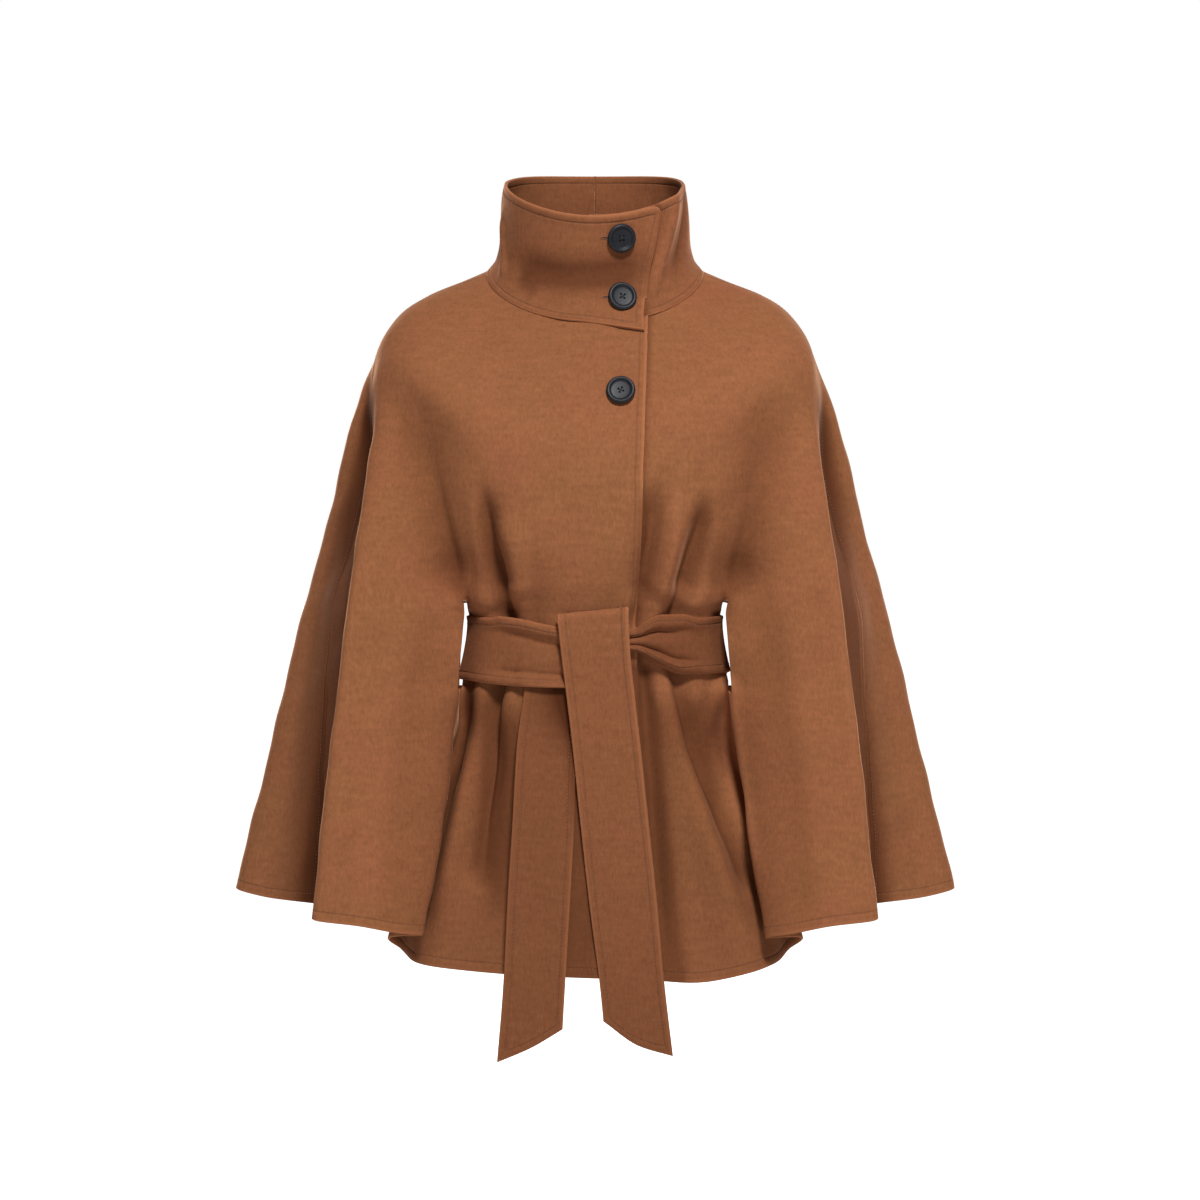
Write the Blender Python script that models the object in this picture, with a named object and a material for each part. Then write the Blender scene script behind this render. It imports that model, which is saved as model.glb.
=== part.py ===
"""A hollow wool cape with a funnel collar, three buttons and a tie belt through four slits.

Metres, +Z up, the front faces -Y and the wearer's right side is at -X. The origin is the middle
of the neck, level with the sides of the neck seam, where the wearer's shoulders carry the cape.

The body is one draped surface. A row of tables gives its plan at the main heights, from the neck
ring to the hem, and smooth curves join them. Fronts, back and belt are cut from that surface.
"""
import math
from collections import namedtuple

import bmesh
import bpy
import numpy as np

# ---------------------------------------------------------------- driving sizes, in metres
CLOTH = 0.0026            # coating wool, one layer
COLLAR_CLOTH = 0.0036     # two layers turned and pressed
BELT_CLOTH = 0.0032       # two layers turned and pressed
SEAM_GAP = 0.0003         # between pieces that are sewn together
LAYER_GAP = 0.0005        # between pieces that lie on each other
SOFTNESS = 0.0045         # rounding of the folds across the cloth

# ---------------------------------------------------------------- the plan at each height
# Over the neck and shoulders the cloth follows plain ovals. drop is the way down the cloth from
# the neck seam; half, front and back are the oval's reach; bow says how fast its height falls
# from the side's to the front's, and square how full its corners are: 1 on a plain oval, less
# where the shoulders fill them.
Oval = namedtuple("Oval", "drop half front back z_front z_side z_back bow square")
OVALS = (
    Oval(0.000, 0.1075, 0.090, 0.070, -0.047, 0.001, 0.020, 1.1, 1.00),
    Oval(0.022, 0.1290, 0.100, 0.080, -0.066, -0.0065, 0.010, 1.3, 0.99),
    Oval(0.060, 0.1660, 0.115, 0.094, -0.098, -0.0205, -0.014, 1.6, 0.93),
    Oval(0.096, 0.1980, 0.128, 0.108, -0.130, -0.040, -0.045, 1.8, 0.82),
    Oval(0.135, 0.2190, 0.137, 0.117, -0.162, -0.077, -0.083, 2.0, 0.68),
)

# Below the shoulders the cloth hangs in folds, and each named place has its x and y.
# panel: the side of the front panel, which the belt gathers. inner: the wing's inner fold.
# ridge: the long fold down the wing. seam: the side seam, in the valley behind the ridge.
# side: the widest point. rear: the fold down the back wing. b_inner and b_panel: the back
# wing's inner edge and the side of the back panel.
Drape = namedtuple("Drape", "drop front panel_x panel_y inner_x inner_y ridge_x ridge_y "
                            "seam_x seam_y side_x side_y rear_x rear_y "
                            "b_inner_x b_inner_y b_panel_x b_panel_y back "
                            "z_front z_side z_back")
DRAPES = (
    Drape(0.190, 0.141, 0.118, 0.120, 0.134, 0.116, 0.2125, 0.066, 0.2215, 0.024, 0.2355, 0.002,
          0.202, 0.082, 0.140, 0.108, 0.125, 0.111, 0.120, -0.198, -0.123, -0.134),
    Drape(0.265, 0.140, 0.120, 0.117, 0.136, 0.115, 0.2235, 0.093, 0.2370, 0.042, 0.2570, 0.000,
          0.214, 0.096, 0.141, 0.112, 0.124, 0.113, 0.119, -0.252, -0.207, -0.216),
    Drape(0.350, 0.132, 0.119, 0.099, 0.135, 0.099, 0.2360, 0.110, 0.2520, 0.056, 0.2790, -0.002,
          0.224, 0.108, 0.140, 0.112, 0.119, 0.103, 0.108, -0.296, -0.290, -0.298),
    Drape(0.390, 0.1240, 0.123, 0.080, 0.1285, 0.094, 0.2410, 0.116, 0.2590, 0.062, 0.2880, -0.003,
          0.230, 0.114, 0.1370, 0.108, 0.119, 0.070, 0.103, -0.3190, -0.3205, -0.329),
    Drape(0.402, 0.1225, 0.118, 0.064, 0.1290, 0.094, 0.2420, 0.117, 0.2600, 0.063, 0.2900, -0.003,
          0.231, 0.115, 0.1365, 0.108, 0.116, 0.060, 0.102, -0.3290, -0.3290, -0.337),
    Drape(0.466, 0.1225, 0.118, 0.064, 0.1325, 0.097, 0.2490, 0.124, 0.2660, 0.070, 0.3065, -0.005,
          0.241, 0.126, 0.1395, 0.114, 0.116, 0.060, 0.102, -0.3995, -0.3980, -0.409),
    Drape(0.476, 0.1230, 0.124, 0.068, 0.1335, 0.099, 0.2495, 0.125, 0.2665, 0.071, 0.3085, -0.005,
          0.242, 0.127, 0.1400, 0.115, 0.117, 0.066, 0.103, -0.4085, -0.4040, -0.419),
    Drape(0.510, 0.129, 0.134, 0.064, 0.137, 0.106, 0.2540, 0.130, 0.2700, 0.074, 0.3170, -0.007,
          0.249, 0.134, 0.147, 0.126, 0.122, 0.086, 0.111, -0.443, -0.438, -0.452),
    Drape(0.605, 0.148, 0.176, 0.074, 0.148, 0.126, 0.2620, 0.138, 0.2780, 0.080, 0.3400, -0.010,
          0.265, 0.150, 0.158, 0.150, 0.138, 0.136, 0.144, -0.556, -0.532, -0.544),
    Drape(0.700, 0.165, 0.2025, 0.076, 0.1645, 0.148, 0.2730, 0.146, 0.2850, 0.086, 0.3590, -0.014,
          0.283, 0.164, 0.172, 0.170, 0.150, 0.166, 0.178, -0.677, -0.610, -0.660),
)
HEM = DRAPES[-1].drop

# The places across half of the cloth, from the centre front to the centre back. angle is the
# place on an oval, in degrees from the front, columns is how many strips of cloth lie between
# this place and the one before it, and hem is its height at the hem.
Place = namedtuple("Place", "name angle columns hem")
PLACES = (
    Place("centre_front", 0, 0, -0.6775),
    Place("placket_edge", 24, 3, -0.6765),
    Place("panel_middle", 38, 5, -0.6735),
    Place("panel_side", 47, 4, -0.6695),
    Place("fold_in", 52, 2, -0.6590),
    Place("panel_fold", 54, 1, -0.6560),
    Place("fold_out", 56, 1, -0.6520),
    Place("inner_fold", 60, 3, -0.6385),
    Place("wing_inner", 65, 2, -0.6360),
    Place("wing_outer", 72, 3, -0.6280),
    Place("ridge", 79, 3, -0.6235),
    Place("ridge_back", 84, 2, -0.6175),
    Place("side_seam", 88, 2, -0.6165),
    Place("side_front", 93, 2, -0.6170),
    Place("side", 99, 3, -0.6115),
    Place("side_back", 108, 2, -0.6120),
    Place("rear_fold", 119, 3, -0.6200),
    Place("rear_wing", 130, 2, -0.6330),
    Place("b_inner", 140, 2, -0.6450),
    Place("b_step", 145, 1, -0.6480),
    Place("b_panel", 150, 2, -0.6510),
    Place("b_middle", 165, 5, -0.6570),
    Place("centre_back", 180, 6, -0.6600),
)
NAMES = [place.name for place in PLACES]
COLUMN = dict(zip(NAMES, np.cumsum([place.columns for place in PLACES])))
LAST = int(COLUMN["centre_back"])
HEM_DIP = (0.105, 0.052, -0.0095)     # the left front's hem hangs lower: x, width, depth
HEM_START = 0.55          # above this drop the hem's own heights have no say
SAMPLES = 16              # points read from the curve between two places
LINE_STEP = 0.002         # spacing of the points that round the folds off
LINE_PAD = 12             # such points added past each end

# Rows of the cloth, as drops from the neck seam. The slits lie between two of them.
SLIT_TOP, SLIT_LOW = 0.390, 0.476
FREE_TOP, FREE_LOW = 0.402, 0.466         # between these the slits' edges hang free
ROWS = (0.0, 0.022, 0.044, 0.068, 0.096, 0.135, 0.165, 0.200, 0.240, 0.285, 0.325, 0.362,
        SLIT_TOP, FREE_TOP, FREE_LOW, SLIT_LOW, 0.500, 0.530, 0.570, 0.610, 0.655, HEM)
SLIT_ROWS = (ROWS.index(SLIT_TOP), ROWS.index(SLIT_LOW))

# The largest folds that the belt and the shoulders draw into the cloth. Each runs from its
# start to its end on the front (or back) view, and is a ridge where height is positive and a
# trough where it is negative. zone says which part of the cloth it lies on.
Fold = namedtuple("Fold", "zone x_start z_start x_end z_end width height")
FOLDS = (
    Fold("front", -0.184, -0.100, -0.128, -0.322, 0.026, -0.008),
    Fold("front", 0.182, -0.100, 0.129, -0.322, 0.026, -0.008),
    Fold("panel", -0.118, -0.195, -0.086, -0.318, 0.015, -0.011),
    Fold("panel", -0.090, -0.225, -0.074, -0.318, 0.014, 0.006),
    Fold("panel", 0.064, -0.195, 0.042, -0.322, 0.014, -0.008),
    Fold("panel", 0.084, -0.205, 0.060, -0.320, 0.014, 0.007),
    Fold("panel", 0.116, -0.205, 0.086, -0.318, 0.015, -0.011),
    Fold("panel", -0.086, -0.415, -0.118, -0.600, 0.015, -0.012),
    Fold("panel", -0.103, -0.420, -0.178, -0.780, 0.018, 0.010),
    Fold("panel", 0.062, -0.415, 0.175, -0.760, 0.020, 0.012),
    Fold("panel", 0.088, -0.415, 0.156, -0.610, 0.016, -0.011),
    Fold("back", -0.052, -0.170, -0.084, -0.330, 0.017, -0.011),
    Fold("back", 0.046, -0.190, 0.082, -0.330, 0.017, -0.010),
    Fold("back", -0.078, -0.415, -0.122, -0.800, 0.018, -0.016),
    Fold("back", -0.055, -0.420, -0.084, -0.800, 0.016, 0.009),
    Fold("back", -0.030, -0.420, -0.046, -0.800, 0.019, -0.014),
    Fold("back", 0.026, -0.420, 0.040, -0.800, 0.020, -0.015),
    Fold("back", 0.052, -0.420, 0.078, -0.800, 0.016, 0.009),
    Fold("back", 0.076, -0.415, 0.116, -0.800, 0.018, -0.015),
    Fold("rear", -0.178, -0.160, -0.212, -0.800, 0.022, -0.014),
    Fold("rear", 0.182, -0.180, 0.206, -0.800, 0.022, -0.013),
)
ZONES = {
    "front": (0, COLUMN["wing_outer"]),
    "panel": (0, COLUMN["panel_side"]),
    "back": (COLUMN["b_panel"] + 2, LAST),
    "rear": (COLUMN["rear_fold"], COLUMN["b_inner"]),
}
ZONE_FADE = 3.0           # columns over which a fold fades at its zone's edge
FOLD_ENDS = 0.35          # share of a fold's length over which each end fades

FOLD_BEND = 0.011         # width of the turn where the panel folds back under the wing
BEND_DEPTH = 0.35         # how far the turn's sides sit inside its tip, as a share of its width
FOLD_STARTS = 0.040       # length below the slits over which the turn forms
# A panel's plan is part of an oval this much wider than the panel, squarer below 1.
PANEL_OVAL, PANEL_SQUARE = 1.09, 0.82
ON_PANEL = {"panel_middle": 0.64, "panel_side": 0.87, "b_middle": 0.60}   # shares of its x

# Places that lie between two others: the share of the way, and the step aside from it.
Between = namedtuple("Between", "name start end share out_x out_y")
BETWEEN = (
    Between("wing_inner", "inner_fold", "ridge", 0.22, 0.0, -0.006),
    Between("wing_outer", "inner_fold", "ridge", 0.62, 0.0, -0.008),
    Between("ridge_back", "ridge", "side_seam", 0.45, 0.003, 0.0),
    Between("side_front", "side_seam", "side", 0.50, -0.003, 0.004),
    Between("side_back", "side", "rear_fold", 0.42, 0.012, 0.010),
    Between("rear_wing", "rear_fold", "b_inner", 0.50, 0.0, 0.003),
    Between("b_step", "b_inner", "b_panel", 0.50, 0.0, 0.0),
)

# ---------------------------------------------------------------- closure
PLACKET_TOP, PLACKET_LOW = 0.0515, 0.0410     # x of the over layer's edge: neck, and belt down
PLACKET_DROP = 0.390
OVERLAP_FADE = 0.030      # how far before the overlap a layer starts to lift
UNDER_CLEAR = 0.006       # the under layer stays down this far past the over layer's edge
OVER_COLUMN = int(COLUMN["placket_edge"])

# ---------------------------------------------------------------- collar
# rise goes from 0 at the neck seam to 1 at the rim.
CollarRing = namedtuple("CollarRing", "rise half front back")
COLLAR = (
    CollarRing(0.00, 0.1070, 0.0895, 0.0700),
    CollarRing(0.15, 0.0970, 0.0850, 0.0680),
    CollarRing(0.35, 0.0930, 0.0805, 0.0670),
    CollarRing(0.60, 0.0920, 0.0790, 0.0680),
    CollarRing(0.82, 0.0905, 0.0810, 0.0710),
    CollarRing(1.00, 0.0880, 0.0845, 0.0750),
)
COLLAR_LIFT = 0.0018                          # keeps its foot off the neck edge
RIM_FRONT, RIM_SIDE, RIM_BACK = 0.0580, 0.0905, 0.1010
OVER_EDGE_LOW, OVER_EDGE_TOP = 26.5, 44.0     # degrees: the over layer's front edge
UNDER_EDGE = -4.0                             # degrees: where the under layer ends
OVER_LIFTS = -40.0                            # from here the over layer lifts off the under one
UNDER_SINKS_END, UNDER_SINKS = 48.0, 85.0     # the under layer sinks behind it between these
COLLAR_STEP = 9.0                             # degrees between the collar's columns
COLLAR_RISES = (0.0, 0.15, 0.35, 0.60, 0.82, 1.0)

# ---------------------------------------------------------------- belt
# The band's edges at the front, by x; it is pinched at the knot.
BandEdge = namedtuple("BandEdge", "x top low")
BAND = (
    BandEdge(-0.125, -0.3296, -0.3965),
    BandEdge(-0.080, -0.3330, -0.3990),
    BandEdge(-0.036, -0.3405, -0.4010),
    BandEdge(0.010, -0.3440, -0.3900),
    BandEdge(0.036, -0.3430, -0.3640),
    BandEdge(0.060, -0.3305, -0.3765),
    BandEdge(0.085, -0.3255, -0.3875),
    BandEdge(0.125, -0.3270, -0.3895),
)
BAND_BACK = BandEdge(0.0, -0.3400, -0.4060)   # the band's edges at the centre back
BAND_ROWS = 6
BAND_CLOTH_ROWS = 5       # rows of cloth read behind the band
BAND_SIDE_COLUMNS = 9
BAND_OVERLAP_COLUMNS = OVER_COLUMN + 3            # columns that the overlap's step reaches
BAND_HALF_TOP, BAND_HALF_LOW = 0.1228, 0.1310     # the band's reach at the wearer's sides
BAND_CLEAR = 0.0040       # beside the slits' tops the band stays this far below the cloth
BAND_CLEAR_FROM, BAND_CLEAR_TO = 0.085, 0.102     # x over which it starts to
BAND_TURN_FRONT, BAND_TURN_BACK = -0.055, 0.060   # y between which its edges level out
OVERLAP_END_IN, OVERLAP_END_OUT = 0.055, 0.085    # x over which it comes down off the overlap
# Ridges that fan out from the knot: where each runs, as x and share of the band's width.
Pleat = namedtuple("Pleat", "x_start share_start x_end share_end width height")
PLEATS = (
    Pleat(0.040, 0.30, 0.120, 0.16, 0.13, 0.0030),
    Pleat(0.040, 0.72, 0.120, 0.80, 0.12, 0.0032),
)
PLEAT_FADE_IN, PLEAT_FADE_OUT = 0.020, 0.050

# The tails, by height: their two edges and how far they stand off the cloth behind them.
TailRow = namedtuple("TailRow", "z left right off")
FRONT_TAIL = (
    TailRow(-0.3340, -0.0310, 0.0350, 0.0056),
    TailRow(-0.3700, -0.0270, 0.0375, 0.0056),
    TailRow(-0.4100, -0.0200, 0.0405, 0.0068),
    TailRow(-0.4550, -0.0143, 0.0440, 0.0068),
    TailRow(-0.5300, -0.0070, 0.0510, 0.0050),
    TailRow(-0.6000, -0.0010, 0.0579, 0.0036),
    TailRow(-0.6800, 0.0060, 0.0672, 0.0041),
    TailRow(-0.7600, 0.0120, 0.0763, 0.0040),
)
REAR_TAIL = (
    TailRow(-0.3950, -0.0650, -0.0070, 0.0022),
    TailRow(-0.4550, -0.0735, -0.0143, 0.0022),
    TailRow(-0.5300, -0.0795, -0.0180, 0.0022),
    TailRow(-0.6000, -0.0838, -0.0225, 0.0022),
    TailRow(-0.6800, -0.0880, -0.0285, 0.0022),
    TailRow(-0.7600, -0.0945, -0.0330, 0.0026),
)
# Heights of each tail's top and of its cut end: at the left edge, the middle and the right edge.
FRONT_TAIL_TOP, FRONT_TAIL_END = (-0.3345, -0.3310, -0.3275), (-0.7185, -0.7425, -0.7525)
REAR_TAIL_TOP, REAR_TAIL_END = (-0.4018, -0.4026, -0.4000), (-0.7590, -0.7455, -0.7268)
TAIL_COLUMNS = 6
TAIL_ROWS = 14
TAIL_REACH_X, TAIL_REACH_Z = 0.006, 0.008     # a tail clears the cloth this far round each point
CLOTH_ROWS = 60           # rows of cloth read behind the tails
TAIL_PAST_HEM = 0.012     # above the hem by this much, the cloth behind no longer counts
TAIL_SMOOTHING = 3        # passes along its length
HOOK_RADIUS = 0.0030      # the tail's turn over the top of the knot
HOOK_TURN = math.pi * 0.5
HOOK_STEPS = 3

# ---------------------------------------------------------------- buttons
BUTTON_RADIUS = 0.0142
BUTTON_HIGH = 0.0046
BUTTON_STEM = 0.0008      # it stands off the cloth on its thread
BUTTON_SIDES = 20
BUTTONS = (("collar", 0.0254, 0.0358), ("collar", 0.0264, -0.0215), ("front", 0.0252, -0.1122))

# ---------------------------------------------------------------- colours
CAMEL = (0.36, 0.145, 0.075)
CAMEL_DARK = (0.27, 0.105, 0.055)
HORN = (0.020, 0.018, 0.020)


# ================================================================ curves
def through(knots, values, at):
    """Smooth curve through values at knots. It never swings past them."""
    knots = np.asarray(knots, float)
    values = np.asarray(values, float)
    shape = (-1,) + (1,) * (values.ndim - 1)
    step = np.diff(knots).reshape(shape)
    rise = np.diff(values, axis=0) / step
    lead, trail = 2 * step[1:] + step[:-1], step[1:] + 2 * step[:-1]
    with np.errstate(divide="ignore", invalid="ignore"):
        mean = (lead + trail) / (lead / rise[:-1] + trail / rise[1:])
    inside = np.where(rise[:-1] * rise[1:] > 0, mean, 0.0)
    slope = np.concatenate([rise[:1], inside, rise[-1:]])
    at = np.clip(np.atleast_1d(np.asarray(at, float)), knots[0], knots[-1])
    cell = np.clip(np.searchsorted(knots, at, side="right") - 1, 0, len(knots) - 2)
    width = (knots[cell + 1] - knots[cell]).reshape(shape)
    t = ((at - knots[cell])).reshape(shape) / width
    return ((1 + 2 * t) * (1 - t) ** 2 * values[cell] + t * (1 - t) ** 2 * width * slope[cell]
            + t * t * (3 - 2 * t) * values[cell + 1] - t * t * (1 - t) * width * slope[cell + 1])


def ease(value, start, end):
    """0 at start, 1 at end, and soft between them."""
    t = np.clip((np.asarray(value, float) - start) / (end - start), 0.0, 1.0)
    return t * t * (3 - 2 * t)


def unit(vectors):
    return vectors / np.maximum(np.linalg.norm(vectors, axis=-1, keepdims=True), 1e-12)


# ================================================================ the draped body
def placket_x(drop):
    """How far past the centre front the over layer reaches."""
    return PLACKET_TOP + (PLACKET_LOW - PLACKET_TOP) * min(drop / PLACKET_DROP, 1.0)


def oval_places(ring):
    """The places on one oval: points across half of the cloth, at x >= 0."""
    points = []
    for place in PLACES:
        turn = math.radians(place.angle)
        if place.name == "placket_edge":
            turn = math.asin(placket_x(ring.drop) / ring.half)
        reach, z_end = (ring.front, ring.z_front) if place.angle < 90 else (ring.back, ring.z_back)
        share = abs(math.cos(turn)) ** ring.bow
        y = math.copysign(reach * abs(math.cos(turn)) ** ring.square, -math.cos(turn))
        points.append((ring.half * math.sin(turn), y, ring.z_side + (z_end - ring.z_side) * share))
    return points


def drape_places(row):
    """The places at one height below the shoulders."""
    panel = np.array((row.panel_x, -row.panel_y))
    inner = np.array((row.inner_x, -row.inner_y))
    ridge = np.array((row.ridge_x, -row.ridge_y))
    seam = np.array((row.seam_x, -row.seam_y))
    side = np.array((row.side_x, row.side_y))
    rear = np.array((row.rear_x, row.rear_y))
    b_inner = np.array((row.b_inner_x, row.b_inner_y))
    b_panel = np.array((row.b_panel_x, row.b_panel_y))

    def on_panel(across, depth, edge):
        """A point of the panel at x = across, on an oval that ends at the panel's side."""
        whole = edge[0] * PANEL_OVAL
        level = math.sqrt(1 - (across / whole) ** 2)
        lowest = math.sqrt(1 - PANEL_OVAL ** -2)
        rise = ((level - lowest) / (1 - lowest)) ** PANEL_SQUARE
        return np.array((across, math.copysign(abs(edge[1]) + (depth - abs(edge[1])) * rise,
                                               edge[1])))

    before_panel = on_panel(panel[0] * ON_PANEL["panel_side"], row.front, panel)
    way_in, way_out = unit(panel - before_panel), unit(inner - panel)
    folded = float(ease(row.drop, FREE_LOW, FREE_LOW + FOLD_STARTS))

    def turned(side):
        """From the panel's side to the cloth just before it (side < 0) or after it."""
        flat_step = (way_in if side < 0 else way_out) * side * FOLD_BEND
        round_step = np.array((way_in[1], -way_in[0])) * FOLD_BEND * side
        return flat_step + (round_step - way_in * FOLD_BEND * BEND_DEPTH - flat_step) * folded

    flat = {
        "centre_front": np.array((0.0, -row.front)),
        "placket_edge": on_panel(placket_x(row.drop), row.front, panel),
        "panel_middle": on_panel(panel[0] * ON_PANEL["panel_middle"], row.front, panel),
        "panel_side": before_panel,
        "fold_in": panel + turned(-0.5),
        "panel_fold": panel,
        "fold_out": panel + turned(0.5),
        "inner_fold": inner,
        "ridge": ridge,
        "side_seam": seam,
        "side": side,
        "rear_fold": rear,
        "b_inner": b_inner,
        "b_panel": b_panel,
        "b_middle": on_panel(b_panel[0] * ON_PANEL["b_middle"], row.back, b_panel),
        "centre_back": np.array((0.0, row.back)),
    }
    for step in BETWEEN:
        start, end = flat[step.start], flat[step.end]
        flat[step.name] = start + (end - start) * step.share + np.array((step.out_x, step.out_y))
    points = []
    for place in PLACES:
        x, y = flat[place.name]
        if y < 0:
            reach, z_end = row.front, row.z_front
        else:
            reach, z_end = row.back, row.z_back
        z = row.z_side + (z_end - row.z_side) * min(abs(y) / reach, 1.0) ** 2
        points.append((x, y, z))
    return points


def half_places(drop):
    """The places across half of the cloth at one drop, with the hem's own heights near it."""
    knots = [ring.drop for ring in OVALS] + [row.drop for row in DRAPES]
    table = np.array([oval_places(ring) for ring in OVALS] + [drape_places(r) for r in DRAPES])
    points = through(knots, table, drop)[0]
    level = table[-1, :, 2]
    hem = np.array([place.hem for place in PLACES])
    points[:, 2] += (hem - level) * ease(drop, HEM_START, HEM)
    return points


def soft_line(places, first, last):
    """The cloth from one place to another, at its columns. It is mirrored at a centre line and
    free at a slit's edge."""
    mirror = np.array((-1.0, 1.0, 1.0))
    part = places[first:last + 1]
    before = part[1] * mirror if first == 0 else 2 * part[0] - part[1]
    after = part[-2] * mirror if last == len(places) - 1 else 2 * part[-1] - part[-2]
    ends = np.vstack([before, part, after])
    knots = np.concatenate([[0.0], np.cumsum(np.linalg.norm(np.diff(ends, axis=0), axis=1))])
    fine = np.concatenate([np.linspace(a, b, SAMPLES, endpoint=False)
                           for a, b in zip(knots[1:-2], knots[2:-1])] + [[knots[-2]]])
    line = through(knots, ends, fine)
    way = np.concatenate([[0.0], np.cumsum(np.linalg.norm(np.diff(line, axis=0), axis=1))])
    count = int(math.ceil(way[-1] / LINE_STEP))
    even = np.linspace(0.0, way[-1], count + 1)
    even_line = np.stack([np.interp(even, way, line[:, k]) for k in range(3)], axis=1)
    lead, trail = even_line[LINE_PAD:0:-1], even_line[-2:-LINE_PAD - 2:-1]
    lead = lead * mirror if first == 0 else 2 * even_line[0] - lead
    trail = trail * mirror if last == len(places) - 1 else 2 * even_line[-1] - trail
    padded = np.vstack([lead, even_line, trail])
    reach = np.arange(-LINE_PAD, LINE_PAD + 1) * (way[-1] / count)
    kernel = np.exp(-0.5 * (reach / SOFTNESS) ** 2)
    kernel /= kernel.sum()
    soft = np.stack([np.convolve(padded[:, k], kernel, mode="valid") for k in range(3)], axis=1)
    targets = [0.0]
    for index, place in enumerate(PLACES[first + 1:last + 1], start=1):
        low, high = way[(index - 1) * SAMPLES], way[index * SAMPLES]
        targets += [low + (high - low) * (k + 1) / place.columns for k in range(place.columns)]
    return np.stack([np.interp(targets, even, soft[:, k]) for k in range(3)], axis=1)


def half_ring(drop):
    """One row of the cloth from centre front to centre back, at its columns, at x >= 0."""
    places = half_places(drop)
    if not FREE_TOP <= drop <= FREE_LOW:
        return soft_line(places, 0, len(PLACES) - 1)
    edges = [NAMES.index(n) for n in ("panel_fold", "inner_fold", "b_inner", "b_panel")]
    front = soft_line(places, 0, edges[0])
    wing = soft_line(places, edges[1], edges[2])
    back = soft_line(places, edges[3], len(PLACES) - 1)

    def across_slit(start, end, name):
        """Points over an open slit, which no piece uses."""
        count = COLUMN[NAMES[NAMES.index(name) + 2]] - COLUMN[name]
        return [start + (end - start) * k / count for k in range(1, count)]

    return np.vstack([front, *across_slit(front[-1], wing[0], "panel_fold"), wing,
                      *across_slit(wing[-1], back[0], "b_inner"), back])


def full_ring(drop):
    """One whole row: columns -LAST to LAST, with both ends on the centre back."""
    half = half_ring(drop)
    ring = np.vstack([half[:0:-1] * np.array((-1.0, 1.0, 1.0)), half])
    x, width, depth = HEM_DIP
    dip = depth * np.exp(-((ring[:, 0] - x) / width) ** 2) * ease(drop, HEM_START, HEM)
    ring[:, 2] += dip * (1 - ease(ring[:, 1], -0.09, -0.04))
    return ring


def normals_of(grid):
    """Outward normals of a grid of rows down and columns from the right side to the left."""
    across = np.gradient(grid, axis=1)
    down = np.gradient(grid, axis=0)
    return unit(np.cross(down, across))


def cloth_normals(grid, drops):
    """Normals of the whole cloth. Beside an open slit they look along the cloth alone."""
    out = normals_of(grid)
    down = np.gradient(grid, axis=0)
    edges = [int(COLUMN[n]) for n in ("panel_fold", "inner_fold", "b_inner", "b_panel")]
    runs = ((-edges[0], edges[0]), (edges[1], edges[2]), (-edges[2], -edges[1]),
            (edges[3], LAST), (-LAST, -edges[3]))
    for r, drop in enumerate(drops):
        if FREE_TOP <= drop <= FREE_LOW:
            for first, last in runs:
                part = slice(first + LAST, last + LAST + 1)
                across = np.gradient(grid[r, part], axis=0)
                out[r, part] = unit(np.cross(down[r, part], across))
    centre = unit(out[:, 0] + out[:, -1])
    out[:, 0] = out[:, -1] = centre
    return out


def fold_height(grid):
    """How far each point of the whole cloth moves out for the folds."""
    columns = np.abs(np.arange(-LAST, LAST + 1))[None, :]
    total = np.zeros(grid.shape[:2])
    for fold in FOLDS:
        low, high = ZONES[fold.zone]
        inside = ease(columns, low - ZONE_FADE, low) if low else np.ones_like(columns, float)
        inside = inside * (1 - ease(columns, high, high + ZONE_FADE))
        start = np.array((fold.x_start, fold.z_start))
        run = np.array((fold.x_end, fold.z_end)) - start
        length = np.linalg.norm(run)
        offset = grid[:, :, (0, 2)] - start
        along = (offset @ run) / length ** 2
        aside = (offset[..., 0] * run[1] - offset[..., 1] * run[0]) / length
        shown = ease(along, 0.0, FOLD_ENDS) * (1 - ease(along, 1 - FOLD_ENDS * 0.5, 1.0))
        total += fold.height * np.exp(-(aside / fold.width) ** 2) * shown * inside
    return total


def draped_cloth(drops):
    """The middle surface of the whole cloth, as rows by columns."""
    grid = np.stack([full_ring(drop) for drop in drops])
    return grid + cloth_normals(grid, drops) * fold_height(grid)[..., None]


# ================================================================ solids
def material(name, colour, roughness):
    made = bpy.data.materials.new(name)
    made.use_nodes = True
    shader = made.node_tree.nodes["Principled BSDF"]
    shader.inputs["Base Color"].default_value = (*colour, 1.0)
    shader.inputs["Roughness"].default_value = roughness
    shader.inputs["Metallic"].default_value = 0.0
    made.diffuse_color = (*colour, 1.0)
    return made


def add_object(name, vertices, faces, finish):
    mesh = bpy.data.meshes.new(name)
    mesh.from_pydata([tuple(map(float, v)) for v in vertices], [], faces)
    work = bmesh.new()
    work.from_mesh(mesh)
    bmesh.ops.recalc_face_normals(work, faces=work.faces)
    work.to_mesh(mesh)
    work.free()
    mesh.materials.append(finish)
    mesh.shade_smooth()
    mesh.set_sharp_from_angle(angle=math.radians(50))
    made = bpy.data.objects.new(name, mesh)
    bpy.context.scene.collection.objects.link(made)
    return made


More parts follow.
